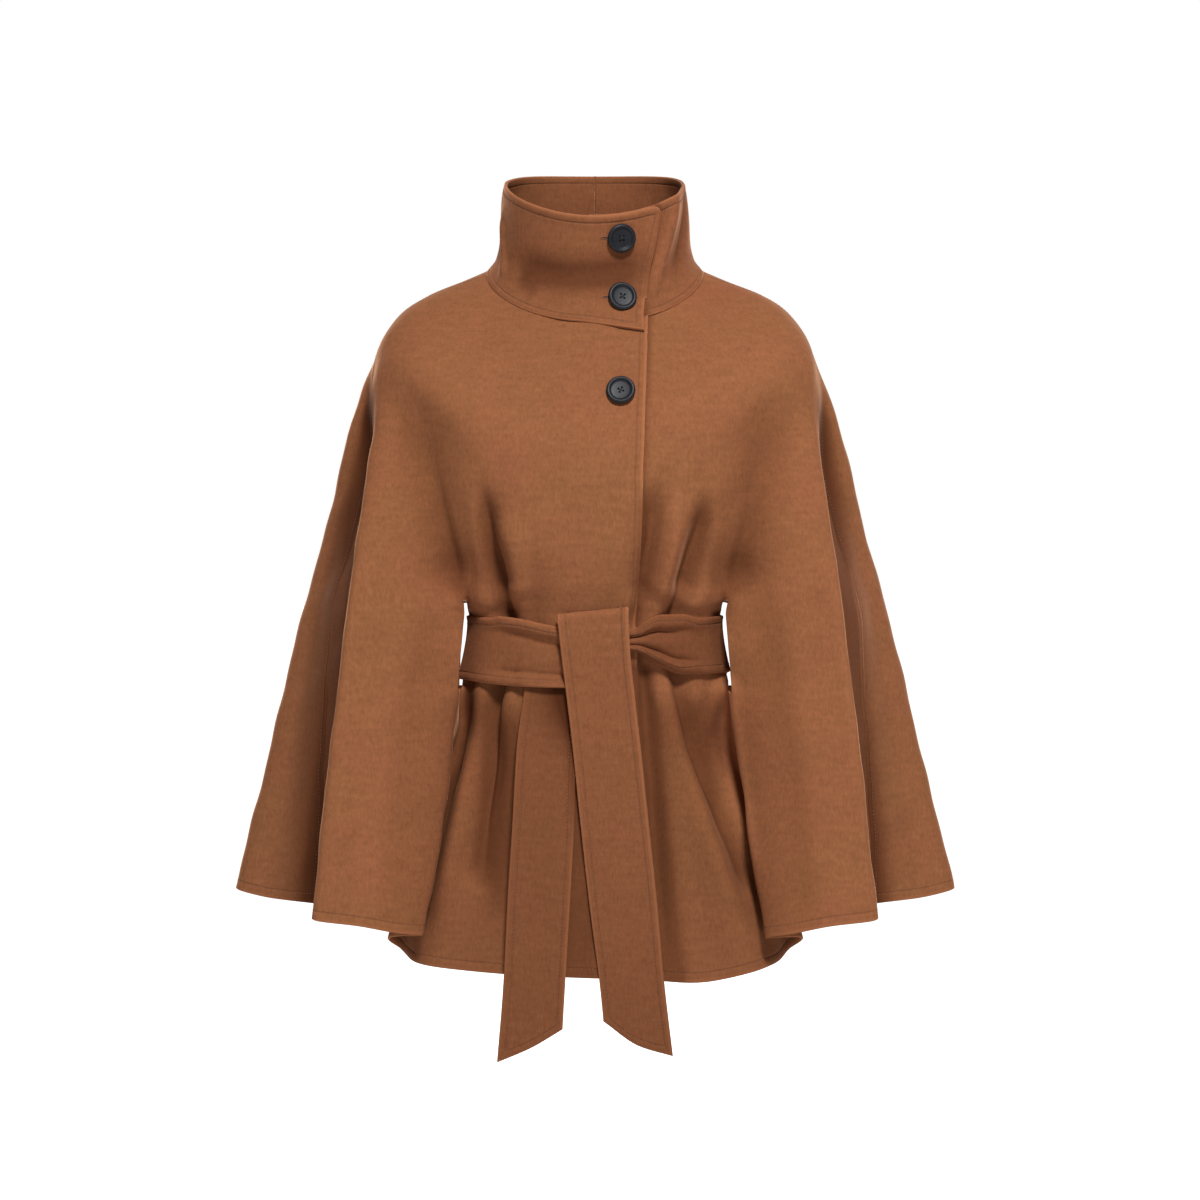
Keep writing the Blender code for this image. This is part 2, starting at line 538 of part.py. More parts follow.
def wall(name, outer, inner, finish, holes=(), closed=False):
    """A closed wall between two grids of points. holes lists cells (row, column) cut away."""
    rows, columns = outer.shape[:2]
    cells_across = columns if closed else columns - 1
    cut = set(holes)
    kept = [(r, c) for r in range(rows - 1) for c in range(cells_across) if (r, c) not in cut]
    number = {}
    vertices = []

    def point(side, r, c):
        key = (side, r, c % columns)
        if key not in number:
            number[key] = len(vertices)
            vertices.append((outer, inner)[side][r, c % columns])
        return number[key]

    faces = []
    edges = {}
    for r, c in kept:
        corners = ((r, c), (r, c + 1), (r + 1, c + 1), (r + 1, c))
        for side in (0, 1):
            a, b, d, e = (point(side, *corner) for corner in corners)
            triangles = [(a, b, d), (a, d, e)]
            faces += [t[::-1] for t in triangles] if side else triangles
        for start, end in zip(corners, corners[1:] + corners[:1]):
            start, end = (start[0], start[1] % columns), (end[0], end[1] % columns)
            if (end, start) in edges:
                del edges[(end, start)]
            else:
                edges[(start, end)] = True
    for start, end in edges:
        a, b = point(0, *start), point(0, *end)
        d, e = point(1, *end), point(1, *start)
        faces += [(b, a, e), (b, e, d)]
    return add_object(name, vertices, faces, finish)


def narrowed(grid, first=True, last=True, by=SEAM_GAP / 2):
    """The grid with its first or last column moved inwards by half a seam gap."""
    result = grid.copy()
    if first:
        result[:, 0] += unit(grid[:, 1] - grid[:, 0]) * by
    if last:
        result[:, -1] += unit(grid[:, -2] - grid[:, -1]) * by
    return result


# ================================================================ fronts and back
def overlap_lift(x, sign):
    """How far a front layer stands off the middle surface where the two overlap."""
    half_step = (CLOTH + LAYER_GAP) / 2
    if sign > 0:
        return half_step * ease(x, -OVERLAP_FADE, 0.0)
    edge = PLACKET_TOP + UNDER_CLEAR
    return -half_step * (1 - ease(x, edge, edge + OVERLAP_FADE))


def body_pieces(wool):
    grid = draped_cloth(ROWS)
    normal = cloth_normals(grid, ROWS)
    seam, fold, inner = (int(COLUMN[n]) for n in ("side_seam", "panel_fold", "inner_fold"))
    b_inner, b_panel = int(COLUMN["b_inner"]), int(COLUMN["b_panel"])
    slit_rows = range(*SLIT_ROWS)

    def piece(name, first, last, lift, slits):
        """The cloth from one column to another, counted from the centre front."""
        part = slice(first + LAST, last + LAST + 1)
        middle, out = grid[:, part], normal[:, part]
        if lift:
            middle = middle + out * overlap_lift(middle[..., 0], lift)[..., None]
        middle = narrowed(middle, abs(first) == seam, abs(last) == seam)
        holes = [(r, c - first) for r in slit_rows for low, high in slits for c in range(low, high)]
        return wall(name, middle + out * CLOTH / 2, middle - out * CLOTH / 2, wool, holes), middle

    _, over = piece("front_right", -seam, OVER_COLUMN, 1, [(-inner, -fold)])
    piece("front_left", 0, seam, -1, [(fold, inner)])
    # the back runs from one side seam to the other, past the centre back
    order = list(range(seam, LAST)) + list(range(-LAST, -seam + 1))
    part = [c + LAST for c in order]
    middle, out = narrowed(grid[:, part]), normal[:, part]
    centre = LAST - seam
    holes = []
    for r in slit_rows:
        for side in (1, -1):
            edges = sorted((centre + side * (LAST - b_inner), centre + side * (LAST - b_panel)))
            holes += [(r, c) for c in range(*edges)]
    wall("back", middle + out * CLOTH / 2, middle - out * CLOTH / 2, wool, holes)
    return over


# ================================================================ collar
def rim_height(turn):
    """The rim's height round the neck, from the front (0) to the back (pi)."""
    even = (RIM_FRONT - RIM_BACK) / 2
    mean = (RIM_FRONT + RIM_BACK) / 2
    return (mean + RIM_SIDE) / 2 + even * math.cos(turn) + (mean - RIM_SIDE) / 2 * math.cos(2 * turn)


def seam_height(turn):
    ring = OVALS[0]
    end = ring.z_front if math.cos(turn) > 0 else ring.z_back
    return ring.z_side + (end - ring.z_side) * abs(math.cos(turn)) ** ring.bow


def collar_point(rise, degrees):
    turn = math.radians(degrees)
    half, front, back = through([r.rise for r in COLLAR], [r[1:] for r in COLLAR], rise)[0]
    reach = front if math.cos(turn) > 0 else back
    foot = seam_height(turn) + COLLAR_LIFT
    return (half * math.sin(turn), -reach * math.cos(turn),
            foot + (rim_height(turn) - foot) * rise)


def collar_half(name, start, low_end, top_end, lift, wool):
    """Half of the collar, from the centre back (start) to its front edge."""
    steps = int(round(abs(low_end - start) / COLLAR_STEP))
    grid, layer = [], []
    half_step = (COLLAR_CLOTH + LAYER_GAP) / 2
    # one column past the centre back squares the seam's edges, and is then left out
    for rise in COLLAR_RISES:
        end = low_end + (top_end - low_end) * rise
        angles = [start + (end - start) * k / steps for k in range(-1, steps + 1)]
        grid.append([collar_point(rise, a) for a in angles])
        if lift > 0:
            layer.append([half_step * float(ease(a, OVER_LIFTS, UNDER_EDGE)) for a in angles])
        else:
            layer.append([-half_step * (1 - float(ease(a, UNDER_SINKS_END, UNDER_SINKS))) for a in angles])
    grid = np.array(grid)[::-1]
    layer = np.array(layer)[::-1]
    if start > low_end:
        grid, layer = grid[:, ::-1], layer[:, ::-1]
    kept = slice(1, None) if start < low_end else slice(None, -1)
    out = normals_of(grid)[:, kept]
    grid, layer = grid[:, kept], layer[:, kept]
    middle = narrowed(grid + out * layer[..., None], start < low_end, start > low_end)
    wall(name, middle + out * COLLAR_CLOTH / 2, middle - out * COLLAR_CLOTH / 2, wool)
    return middle


# ================================================================ belt
def at_height(column, z):
    """The point of one column of cloth at a height between the slits' ends."""
    return np.array([np.interp(-z, -column[:, 2], column[:, k]) for k in range(3)])


def band_edges(x, y):
    """Top and low edge of the band: the table's at the front, level behind."""
    front = through([e.x for e in BAND], [(e.top, e.low) for e in BAND], x)[0]
    rear = np.array((BAND_BACK.top, BAND_BACK.low))
    share = float(ease(y, BAND_TURN_FRONT, BAND_TURN_BACK))
    return front * (1 - share) + rear * share


def waist_band(wool):
    """The belt's band: moved out from the cloth, and bare where it passes the wings."""
    drops = np.linspace(FREE_TOP, FREE_LOW, BAND_CLOTH_ROWS)
    rings = np.stack([full_ring(drop) for drop in drops])
    out = cloth_normals(rings, drops)
    fold, b_panel = int(COLUMN["panel_fold"]), int(COLUMN["b_panel"])
    off = CLOTH / 2 + LAYER_GAP + BELT_CLOTH / 2

    def lifted(column):
        base = rings[:, column + LAST]
        lift = 0.0
        if abs(column) <= BAND_OVERLAP_COLUMNS:
            on_overlap = 1 - ease(abs(base[0, 0]), OVERLAP_END_IN, OVERLAP_END_OUT)
            lift = (CLOTH + LAYER_GAP) / 2 * float(on_overlap)
        return base + out[:, column + LAST] * (off + lift)

    def side(start, end):
        """Bare cloth round one side, from the front panel's edge to the back panel's."""
        way_in = unit(start[0] - start[1])
        way_out = unit(end[0] - end[1])
        a, b = start[0], end[0]
        half = np.linspace(BAND_HALF_TOP, BAND_HALF_LOW, len(a))
        hold = (8 * half - 4 * (abs(a[..., 0]) + abs(b[..., 0]))) / 3
        hold = hold / (np.abs(way_in[..., 0]) + np.abs(way_out[..., 0]))
        points = []
        for k in range(1, BAND_SIDE_COLUMNS + 1):
            t = k / (BAND_SIDE_COLUMNS + 1)
            points.append((1 - t) ** 3 * a + 3 * t * (1 - t) ** 2 * (a + way_in * hold[:, None])
                          + 3 * t * t * (1 - t) * (b + way_out * hold[:, None]) + t ** 3 * b)
        return points

    front = [lifted(c) for c in range(-fold, fold + 1)]
    back_order = list(range(b_panel, LAST)) + list(range(-LAST, -b_panel + 1))
    back = [lifted(c) for c in back_order]
    left = side((front[-1], front[-2]), (back[0], back[1]))
    right = side((back[-1], back[-2]), (front[0], front[1]))
    columns = front + left + back + right
    grid = np.zeros((BAND_ROWS, len(columns), 3))
    share = np.linspace(0.0, 1.0, BAND_ROWS)
    for c, column in enumerate(columns):
        top, low = band_edges(column[-1, 0], column[-1, 1])
        clear = BAND_CLEAR * float(ease(abs(column[0, 0]), BAND_CLEAR_FROM, BAND_CLEAR_TO))
        top = min(top, column[0, 2] - clear)
        for r, s in enumerate(share):
            grid[r, c] = at_height(column, top + (low - top) * s)
    looped = np.concatenate([grid[:, -1:], grid, grid[:, :1]], axis=1)
    normal = normals_of(looped)[:, 1:-1]
    pleat = np.zeros(grid.shape[:2])
    x = grid[..., 0]
    for ridge in PLEATS:
        run = (x - ridge.x_start) / (ridge.x_end - ridge.x_start)
        centre = ridge.share_start + (ridge.share_end - ridge.share_start) * run
        shown = (ease(x, ridge.x_start - PLEAT_FADE_IN, ridge.x_start)
                 * (1 - ease(x, ridge.x_end - PLEAT_FADE_OUT, ridge.x_end)) * (grid[..., 1] < 0))
        pleat += ridge.height * shown * np.exp(-((share[:, None] - centre) / ridge.width) ** 2)
    half = BELT_CLOTH / 2
    wall("belt_band", grid + normal * (half + pleat[..., None]), grid - normal * half, wool,
         closed=True)


def tail_grid(table, tops, ends, cloth_front):
    """A hanging tail. cloth_front(z, left, right) is the foremost y of what lies behind it."""
    share = np.linspace(0.0, 1.0, TAIL_COLUMNS + 1)
    knots = [-row.z for row in table]
    top = through((0.0, 0.5, 1.0), tops, share)
    end = through((0.0, 0.5, 1.0), ends, share)
    rows = []
    for down in np.linspace(0.0, 1.0, TAIL_ROWS + 1):
        line = []
        for s, z_top, z_end in zip(share, top, end):
            z = z_top + (z_end - z_top) * down
            left, right, off = through(knots, [row[1:] for row in table], -z)[0]
            line.append((left + (right - left) * s, cloth_front(z, left, right) - off, z))
        rows.append(line)
    grid = np.array(rows)
    for _ in range(TAIL_SMOOTHING):
        y = grid[:, :, 1]
        grid[1:-1, :, 1] = (y[:-2] + 2 * y[1:-1] + y[2:]) / 4
    return grid


def with_hook(grid):
    """The tail with its turn over the top of the knot."""
    turned = []
    for k in range(HOOK_STEPS, 0, -1):
        angle = HOOK_TURN * k / HOOK_STEPS
        turned.append(grid[0] + HOOK_RADIUS * np.array((0.0, 1 - math.cos(angle),
                                                        math.sin(angle))))
    return np.concatenate([np.array(turned), grid])


def tails(wool):
    """Both tails hang in front of the cloth, clear of it and of each other."""
    fold = int(COLUMN["panel_fold"])
    cloth = draped_cloth(np.linspace(ROWS[SLIT_ROWS[0] - 1], HEM, CLOTH_ROWS))
    front = cloth[:, LAST - fold:LAST + fold + 1].reshape(-1, 3)
    hem_low = front[:, 2].min()

    def cloth_front(z, left, right):
        z = max(z, hem_low + TAIL_PAST_HEM)
        near = ((np.abs(front[:, 2] - z) < TAIL_REACH_Z) & (front[:, 0] > left - TAIL_REACH_X)
                & (front[:, 0] < right + TAIL_REACH_X))
        return float(front[near, 1].min()) - CLOTH

    for name, table, tops, ends in (
            ("belt_tail_front", FRONT_TAIL, FRONT_TAIL_TOP, FRONT_TAIL_END),
            ("belt_tail_rear", REAR_TAIL, REAR_TAIL_TOP, REAR_TAIL_END)):
        middle = tail_grid(table, tops, ends, cloth_front)
        if table is FRONT_TAIL:
            middle = with_hook(middle)
        out = normals_of(middle)
        wall(name, middle + out * BELT_CLOTH / 2, middle - out * BELT_CLOTH / 2, wool)


# ================================================================ buttons
def nearest_frame(surface, x, z):
    """The point and outward normal of a surface at the front-view place (x, z)."""
    out = normals_of(surface)
    away = (surface[..., 0] - x) ** 2 + (surface[..., 2] - z) ** 2 + (surface[..., 1] > 0)
    r, c = np.unravel_index(np.argmin(away), away.shape)
    base, normal = surface[r, c], out[r, c]
    y = base[1] - (normal[0] * (x - base[0]) + normal[2] * (z - base[2])) / normal[1]
    return np.array((x, y, z)), normal


def button(name, place, normal, thickness, horn):
    """A turned button: a rounded rim round a shallow dish, flat behind."""
    high, radius = BUTTON_HIGH, BUTTON_RADIUS
    profile = ((0.0, 0.0), (radius * 0.86, 0.0), (radius, high * 0.35), (radius * 0.98, high * 0.75),
               (radius * 0.88, high), (radius * 0.76, high * 0.92), (radius * 0.66, high * 0.62),
               (0.0, high * 0.62))
    up = normal
    across = unit(np.cross((0.0, 0.0, 1.0), up))
    along = np.cross(up, across)
    base = place + up * (thickness / 2 + BUTTON_STEM)
    vertices = [base, base + up * profile[-1][1]]
    rings = profile[1:-1]
    for reach, rise in rings:
        for k in range(BUTTON_SIDES):
            turn = 2 * math.pi * k / BUTTON_SIDES
            vertices.append(base + up * rise + reach * (across * math.cos(turn)
                                                        + along * math.sin(turn)))
    faces = []
    for k in range(BUTTON_SIDES):
        after = (k + 1) % BUTTON_SIDES
        for ring in range(len(rings) - 1):
            a, b = 2 + ring * BUTTON_SIDES, 2 + (ring + 1) * BUTTON_SIDES
            faces.append((a + k, a + after, b + after, b + k))
        top = 2 + (len(rings) - 1) * BUTTON_SIDES
        faces += [(0, 2 + after, 2 + k), (1, top + k, top + after)]
    add_object(name, vertices, faces, horn)


# ================================================================ the whole cape
def main():
    for old in list(bpy.data.objects):
        bpy.data.objects.remove(old, do_unlink=True)
    wool = material("camel_wool", CAMEL, 0.95)
    wool_dark = material("camel_wool_collar", CAMEL_DARK, 0.95)
    wool_belt = material("camel_wool_belt", CAMEL_DARK, 0.95)
    horn = material("dark_horn", HORN, 0.35)
    over = body_pieces(wool)
    collar_over = collar_half("collar_right", -180.0, OVER_EDGE_LOW, OVER_EDGE_TOP, 1, wool_dark)
    collar_half("collar_left", 180.0, UNDER_EDGE, UNDER_EDGE, -1, wool_dark)
    waist_band(wool_belt)
    tails(wool_belt)
    for index, (where, x, z) in enumerate(BUTTONS, start=1):
        surface, thickness = ((collar_over, COLLAR_CLOTH) if where == "collar" else (over, CLOTH))
        place, normal = nearest_frame(surface, x, z)
        button(f"button_{index}", place, normal, thickness, horn)


main()
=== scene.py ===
# %% [markdown]
# # A belted wool cape
# A cape is a coat without sleeves. This one hangs from the neck and shoulders, closes with three
# buttons, and has four slits at the waist. The belt passes through them, so it gathers the front
# and back panels and leaves the two wings loose over the arms.
#
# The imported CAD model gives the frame: each piece of cloth made below takes the place of one
# solid, with the same form and a finer surface.

# %% Load the frame
import math
from collections import namedtuple

import bmesh
import bpy
import numpy as np
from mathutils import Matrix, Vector


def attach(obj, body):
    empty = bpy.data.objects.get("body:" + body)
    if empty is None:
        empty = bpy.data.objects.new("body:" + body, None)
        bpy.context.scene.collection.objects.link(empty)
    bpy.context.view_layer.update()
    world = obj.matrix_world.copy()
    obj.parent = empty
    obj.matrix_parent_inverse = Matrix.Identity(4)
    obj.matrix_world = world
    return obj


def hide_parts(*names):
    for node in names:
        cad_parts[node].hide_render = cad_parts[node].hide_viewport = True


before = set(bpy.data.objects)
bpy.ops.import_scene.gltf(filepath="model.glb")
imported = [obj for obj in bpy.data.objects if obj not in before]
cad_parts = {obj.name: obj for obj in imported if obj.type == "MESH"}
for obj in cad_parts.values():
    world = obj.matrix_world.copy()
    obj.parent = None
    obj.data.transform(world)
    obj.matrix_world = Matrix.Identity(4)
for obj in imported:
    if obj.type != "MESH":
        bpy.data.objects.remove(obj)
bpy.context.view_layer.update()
print("frame nodes:", ", ".join(sorted(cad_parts)))

# %% [markdown]
# ## Camera, light and floor
# A garment of one colour is read from its shading alone. So the main light is a wide soft panel,
# high in front and a little to one side: folds across it get a light and a dark flank. The white
# surround fills the shadows, and a pale floor far below closes the room.

# %% Object helpers
def placed(name, data):
    """A new object of this data, in the scene."""
    made = bpy.data.objects.new(name, data)
    bpy.context.scene.collection.objects.link(made)
    return made


def aimed(holder, at, aim):
    holder.location = at
    holder.rotation_euler = (Vector(aim) - Vector(at)).to_track_quat("-Z", "Y").to_euler()


def new_finish(name):
    """A new material, with its node tree and its surface shader."""
    made = bpy.data.materials.new(name)
    made.use_nodes = True
    return made, made.node_tree, made.node_tree.nodes["Principled BSDF"]


def bmesh_into(name, fill):
    """A new mesh of what the function fill makes."""
    mesh, work = bpy.data.meshes.new(name), bmesh.new()
    fill(work)
    work.to_mesh(mesh)
    work.free()
    return mesh


print("object helpers ready")

# %% Node helpers
# Each but the first two gives its node's output socket.
def feed(node, values):
    """Feed a node's sockets, by name or number, with other sockets or with plain values."""
    for key, value in values.items():
        if hasattr(value, "is_linked"):
            node.id_data.links.new(value, node.inputs[key])
        else:
            node.inputs[key].default_value = value
    return node


def add_node(tree, kind, inputs=None, **properties):
    """A new node with its properties set and its sockets fed."""
    node = tree.nodes.new(kind)
    for key, value in properties.items():
        setattr(node, key, value)
    return feed(node, inputs or {})


def math_node(tree, operation, a, b=0.5, clamp=False):
    return add_node(tree, "ShaderNodeMath", {0: a, 1: b}, operation=operation,
                    use_clamp=clamp).outputs[0]


def object_place(tree):
    return add_node(tree, "ShaderNodeTexCoord").outputs["Object"]


def stretched(tree, vector, scale):
    return add_node(tree, "ShaderNodeMapping", {"Scale": scale, "Vector": vector}).outputs["Vector"]


def noise_of(tree, vector, scale, detail=2.0, rough=0.55):
    return add_node(tree, "ShaderNodeTexNoise", {"Vector": vector, "Scale": scale, "Detail": detail,
                                                 "Roughness": rough}).outputs["Fac"]


def mixed(tree, share, first, second):
    return add_node(tree, "ShaderNodeMix", {0: share, 6: first, 7: second}, data_type="RGBA").outputs[2]


def ranged(tree, value, to_min, to_max, kind="LINEAR", top=1.0):
    """The run from 0 to top, as a run from to_min to to_max."""
    return add_node(tree, "ShaderNodeMapRange",
                    {"Value": value, "From Max": top, "To Min": to_min, "To Max": to_max},
                    interpolation_type=kind).outputs["Result"]


print("node helpers ready")

# %% Camera
CAMERA_AT, CAMERA_AIM = (0.005, -4.0, -0.05), (0.005, 0.0, -0.323)
camera_data = bpy.data.cameras.new("camera")
camera_data.sensor_width, camera_data.lens = 36.0, 120.3
camera = placed("camera", camera_data)
aimed(camera, CAMERA_AT, CAMERA_AIM)
bpy.context.scene.camera = camera
print("camera at", CAMERA_AT)

# %% Lights
Panel = namedtuple("Panel", "name at aim size power")
PANELS = [Panel(*row) for row in (
    ("key_panel", (0.50, -2.55, 2.5), (0.0, 0.0, -0.25), 0.7, 122.0),
    ("side_panel", (2.2, 2.8, 0.5), (0.0, 0.0, -0.40), 1.2, 62.0),
    ("other_side_panel", (-2.2, 2.8, 0.5), (0.0, 0.0, -0.40), 1.2, 50.0),
    ("back_panel", (-0.6, 2.9, 1.9), (0.0, 0.0, -0.35), 1.8, 30.0),
)]
for panel in PANELS:
    light = bpy.data.lights.new(panel.name, "AREA")
    light.shape, light.size, light.energy = "SQUARE", panel.size, panel.power
    aimed(placed(panel.name, light), panel.at, panel.aim)
print(len(PANELS), "soft panels")

# %% White surround
SURROUND, SEEN = 0.14, 1.0      # what lights the cape, and what the camera sees behind it
WHITE = (1.0, 1.0, 1.0, 1.0)
world = bpy.data.worlds.new("studio")
world.use_nodes = True
bpy.context.scene.world = world


def seen_by_camera(tree):
    return add_node(tree, "ShaderNodeLightPath").outputs["Is Camera Ray"]


level = ranged(world.node_tree, seen_by_camera(world.node_tree), SURROUND, SEEN)
feed(world.node_tree.nodes["Background"], {"Color": WHITE, "Strength": level})
bpy.context.scene.view_settings.view_transform = "Standard"
print("surround", SURROUND)

# %% Floor
FLOOR_Z, FLOOR_REACH = -1.30, 14.0


def floor_disc(work):
    bmesh.ops.create_circle(work, cap_ends=True, segments=96, radius=FLOOR_REACH)
    bmesh.ops.translate(work, verts=work.verts, vec=(0.0, 0.0, FLOOR_Z))


floor = placed("floor", bmesh_into("floor", floor_disc))
pale, pale_tree, pale_shader = new_finish("pale_floor")
feed(pale_shader, {"Base Color": (0.80, 0.80, 0.80, 1.0), "Roughness": 0.9, "Emission Color": WHITE,
                   "Emission Strength": seen_by_camera(pale_tree)})
floor.data.materials.append(pale)
print("floor at", FLOOR_Z)

# %% [markdown]
# ## The form of the draped cloth
# Cloth like this could be simulated, but a worn and belted cape has a settled shape that is
# easier to say than to wait for. The plan of the cloth is given at a few heights, as named
# places from the centre front to the centre back, and smooth curves join them, across and down.
# The cape's own sizes are in metres, and the long tables of rows, folds and creases are in
# millimetres. The wearer's right side is at -X.

# %% Cloth thickness and the plan over the shoulders
CLOTH, COLLAR_CLOTH, BELT_CLOTH = 0.0026, 0.0036, 0.0032
SEAM_GAP, LAYER_GAP = 0.0003, 0.0005
SOFTNESS = 0.0045         # how softly a fold turns
Oval = namedtuple("Oval", "drop half front back z_front z_side z_back bow square")
OVALS = [Oval(*row) for row in (
    (0.000, 0.1075, 0.090, 0.070, -0.047, 0.001, 0.020, 1.1, 1.00),
    (0.022, 0.1290, 0.100, 0.080, -0.066, -0.0065, 0.010, 1.3, 0.99),
    (0.060, 0.1660, 0.115, 0.094, -0.098, -0.0205, -0.014, 1.6, 0.93),
    (0.096, 0.1980, 0.128, 0.108, -0.130, -0.040, -0.045, 1.8, 0.82),
    (0.135, 0.2190, 0.137, 0.117, -0.162, -0.077, -0.083, 2.0, 0.68),
)]
print("cloth", CLOTH * 1000, "mm thick")

# %% The plan below the shoulders
# panel: the side of the front panel, which the belt gathers. inner: the wing's inner fold.
# ridge: the long fold down the wing. seam: the side seam behind it. side: the widest point.
# rear: the fold down the back wing. b_inner, b_panel: the back wing's edge, the back panel's side.
Drape = namedtuple("Drape", "drop front panel_x panel_y inner_x inner_y ridge_x ridge_y "
                            "seam_x seam_y side_x side_y rear_x rear_y "
                            "b_inner_x b_inner_y b_panel_x b_panel_y back z_front z_side z_back")
DRAPES = [Drape(*(size / 1000 for size in row)) for row in (
    (190, 141, 118, 120, 134, 116, 212.5, 66, 221.5, 24, 235.5, 2,
     202, 82, 140, 108, 125, 111, 120, -198, -123, -134),
    (265, 140, 120, 117, 136, 115, 223.5, 93, 237, 42, 257, 0,
     214, 96, 141, 112, 124, 113, 119, -252, -207, -216),
    (350, 132, 119, 99, 135, 99, 236, 110, 252, 56, 279, -2,
     224, 108, 140, 112, 119, 103, 108, -296, -290, -298),
    (390, 124, 126.2, 80, 127.8, 94, 241, 116, 259, 62, 288, -3,
     230, 114, 137, 108, 119, 70, 103, -319, -320.5, -329),
    (402, 122.5, 124, 64, 127.6, 94, 242, 117, 260, 63, 290, -3,
     231, 115, 136.5, 108, 116, 60, 102, -329, -329, -337),
    (412, 122.5, 121.2, 64, 128.4, 94.5, 243, 118, 261, 64, 292.5, -3,
     232, 117, 137, 109, 116, 60, 102, -340, -339.5, -348),
    (466, 122.5, 130.6, 64, 133.2, 97, 249, 124, 266, 70, 306.5, -5,
     241, 126, 139.5, 114, 116, 60, 102, -399.5, -398, -409),
    (476, 123, 132.5, 68, 133.3, 99, 249.5, 125, 266.5, 71, 308.5, -5,
     242, 127, 140, 115, 117, 66, 103, -408.5, -404, -419),
    (510, 129, 134, 64, 137, 106, 254, 130, 270, 74, 317, -7,
     249, 134, 147, 126, 122, 86, 111, -443, -438, -452),
    (605, 148, 176, 74, 148, 126, 262, 138, 278, 80, 340, -10,
     265, 150, 158, 150, 138, 136, 144, -556, -532, -544),
    (700, 165, 202.5, 76, 164.5, 148, 273, 146, 285, 86, 359, -14,
     283, 164, 172, 170, 150, 166, 178, -677, -610, -660),
)]
HEM = DRAPES[-1].drop
print("cloth runs", HEM, "m down from the neck seam")

# %% The places across half of the cloth
# angle is the place on a shoulder oval, columns the strips of cloth since the place before it,
# and hem its height at the hem.
Place = namedtuple("Place", "name angle columns hem")
PLACES = [Place(*row) for row in (
    ("centre_front", 0, 0, -0.6775), ("placket_edge", 24, 3, -0.6765),
    ("panel_middle", 38, 5, -0.6735), ("panel_side", 47, 4, -0.6695),
    ("fold_in", 52, 2, -0.6590), ("panel_fold", 54, 1, -0.6560),
    ("fold_out", 56, 1, -0.6520), ("inner_fold", 60, 3, -0.6385),
    ("wing_inner", 65, 2, -0.6360), ("wing_outer", 72, 3, -0.6280),
    ("ridge", 79, 3, -0.6235), ("ridge_back", 84, 2, -0.6175),
    ("side_seam", 88, 2, -0.6165), ("side_front", 93, 2, -0.6170),
    ("side", 99, 3, -0.6115), ("side_back", 108, 2, -0.6120),
    ("rear_fold", 119, 3, -0.6200), ("rear_wing", 130, 2, -0.6330),
    ("b_inner", 140, 2, -0.6450), ("b_step", 145, 1, -0.6480),
    ("b_panel", 150, 2, -0.6510), ("b_middle", 165, 5, -0.6570),
    ("centre_back", 180, 6, -0.6600),
)]
FINE = 4                  # each strip of the CAD cloth is this many strips here
ROW_STEP = 0.0045         # and its rows are this close
NAMES = [place.name for place in PLACES]
COLUMN = dict(zip(NAMES, (np.cumsum([place.columns for place in PLACES]) * FINE).tolist()))
LAST = COLUMN["centre_back"]
print(2 * LAST, "strips round the cape")

# %% Places that lie between two others
Between = namedtuple("Between", "name start end share out_x out_y")
BETWEEN = [Between(*row) for row in (
    ("wing_inner", "inner_fold", "ridge", 0.22, 0.0, -0.006),
    ("wing_outer", "inner_fold", "ridge", 0.62, 0.0, -0.008),
    ("ridge_back", "ridge", "side_seam", 0.45, 0.003, 0.0),
    ("side_front", "side_seam", "side", 0.50, -0.003, 0.004),
    ("side_back", "side", "rear_fold", 0.42, 0.012, 0.010),
    ("rear_wing", "rear_fold", "b_inner", 0.50, 0.0, 0.003),
    ("b_step", "b_inner", "b_panel", 0.50, 0.0, 0.0),
)]
ON_PANEL = {"panel_middle": 0.64, "panel_side": 0.87, "b_middle": 0.60}
PANEL_OVAL, PANEL_SQUARE = 1.09, 0.82
SLIT_TOP, FREE_TOP, FREE_LOW, SLIT_LOW = 0.390, 0.402, 0.466, 0.476
PLACKET_TOP, PLACKET_LOW, PLACKET_DROP = 0.0515, 0.0410, 0.390
FOLD_BEND, BEND_DEPTH, FOLD_STARTS = 0.011, 0.35, 0.040
HEM_DIP, HEM_DIP_ENDS, HEM_START = (0.105, 0.052, -0.0095), (-0.09, -0.04), 0.55
print("slits from", SLIT_TOP, "to", SLIT_LOW, "m down the cloth")

# %% [markdown]
# ## Curves for cloth
# Two small helpers do most of the shaping. `through` is a smooth curve that never swings past
# its own points, so a fold stays where it is put. `ease` goes softly from 0 to 1.

# %% Curve helpers
def through(knots, values, at):
    """Smooth curve through values at knots. It never swings past them."""
    knots = np.asarray(knots, float)
    values = np.asarray(values, float)
    shape = (-1,) + (1,) * (values.ndim - 1)
    step = np.diff(knots).reshape(shape)
    rise = np.diff(values, axis=0) / step
    lead, trail = 2 * step[1:] + step[:-1], step[1:] + 2 * step[:-1]
    with np.errstate(divide="ignore", invalid="ignore"):
        mean = (lead + trail) / (lead / rise[:-1] + trail / rise[1:])
    inside = np.where(rise[:-1] * rise[1:] > 0, mean, 0.0)
    slope = np.concatenate([rise[:1], inside, rise[-1:]])
    at = np.clip(np.atleast_1d(np.asarray(at, float)), knots[0], knots[-1])
    cell = np.clip(np.searchsorted(knots, at, side="right") - 1, 0, len(knots) - 2)
    width = (knots[cell + 1] - knots[cell]).reshape(shape)
    t = (at - knots[cell]).reshape(shape) / width
    return ((1 + 2 * t) * (1 - t) ** 2 * values[cell] + t * (1 - t) ** 2 * width * slope[cell]
            + t * t * (3 - 2 * t) * values[cell + 1] - t * t * (1 - t) * width * slope[cell + 1])


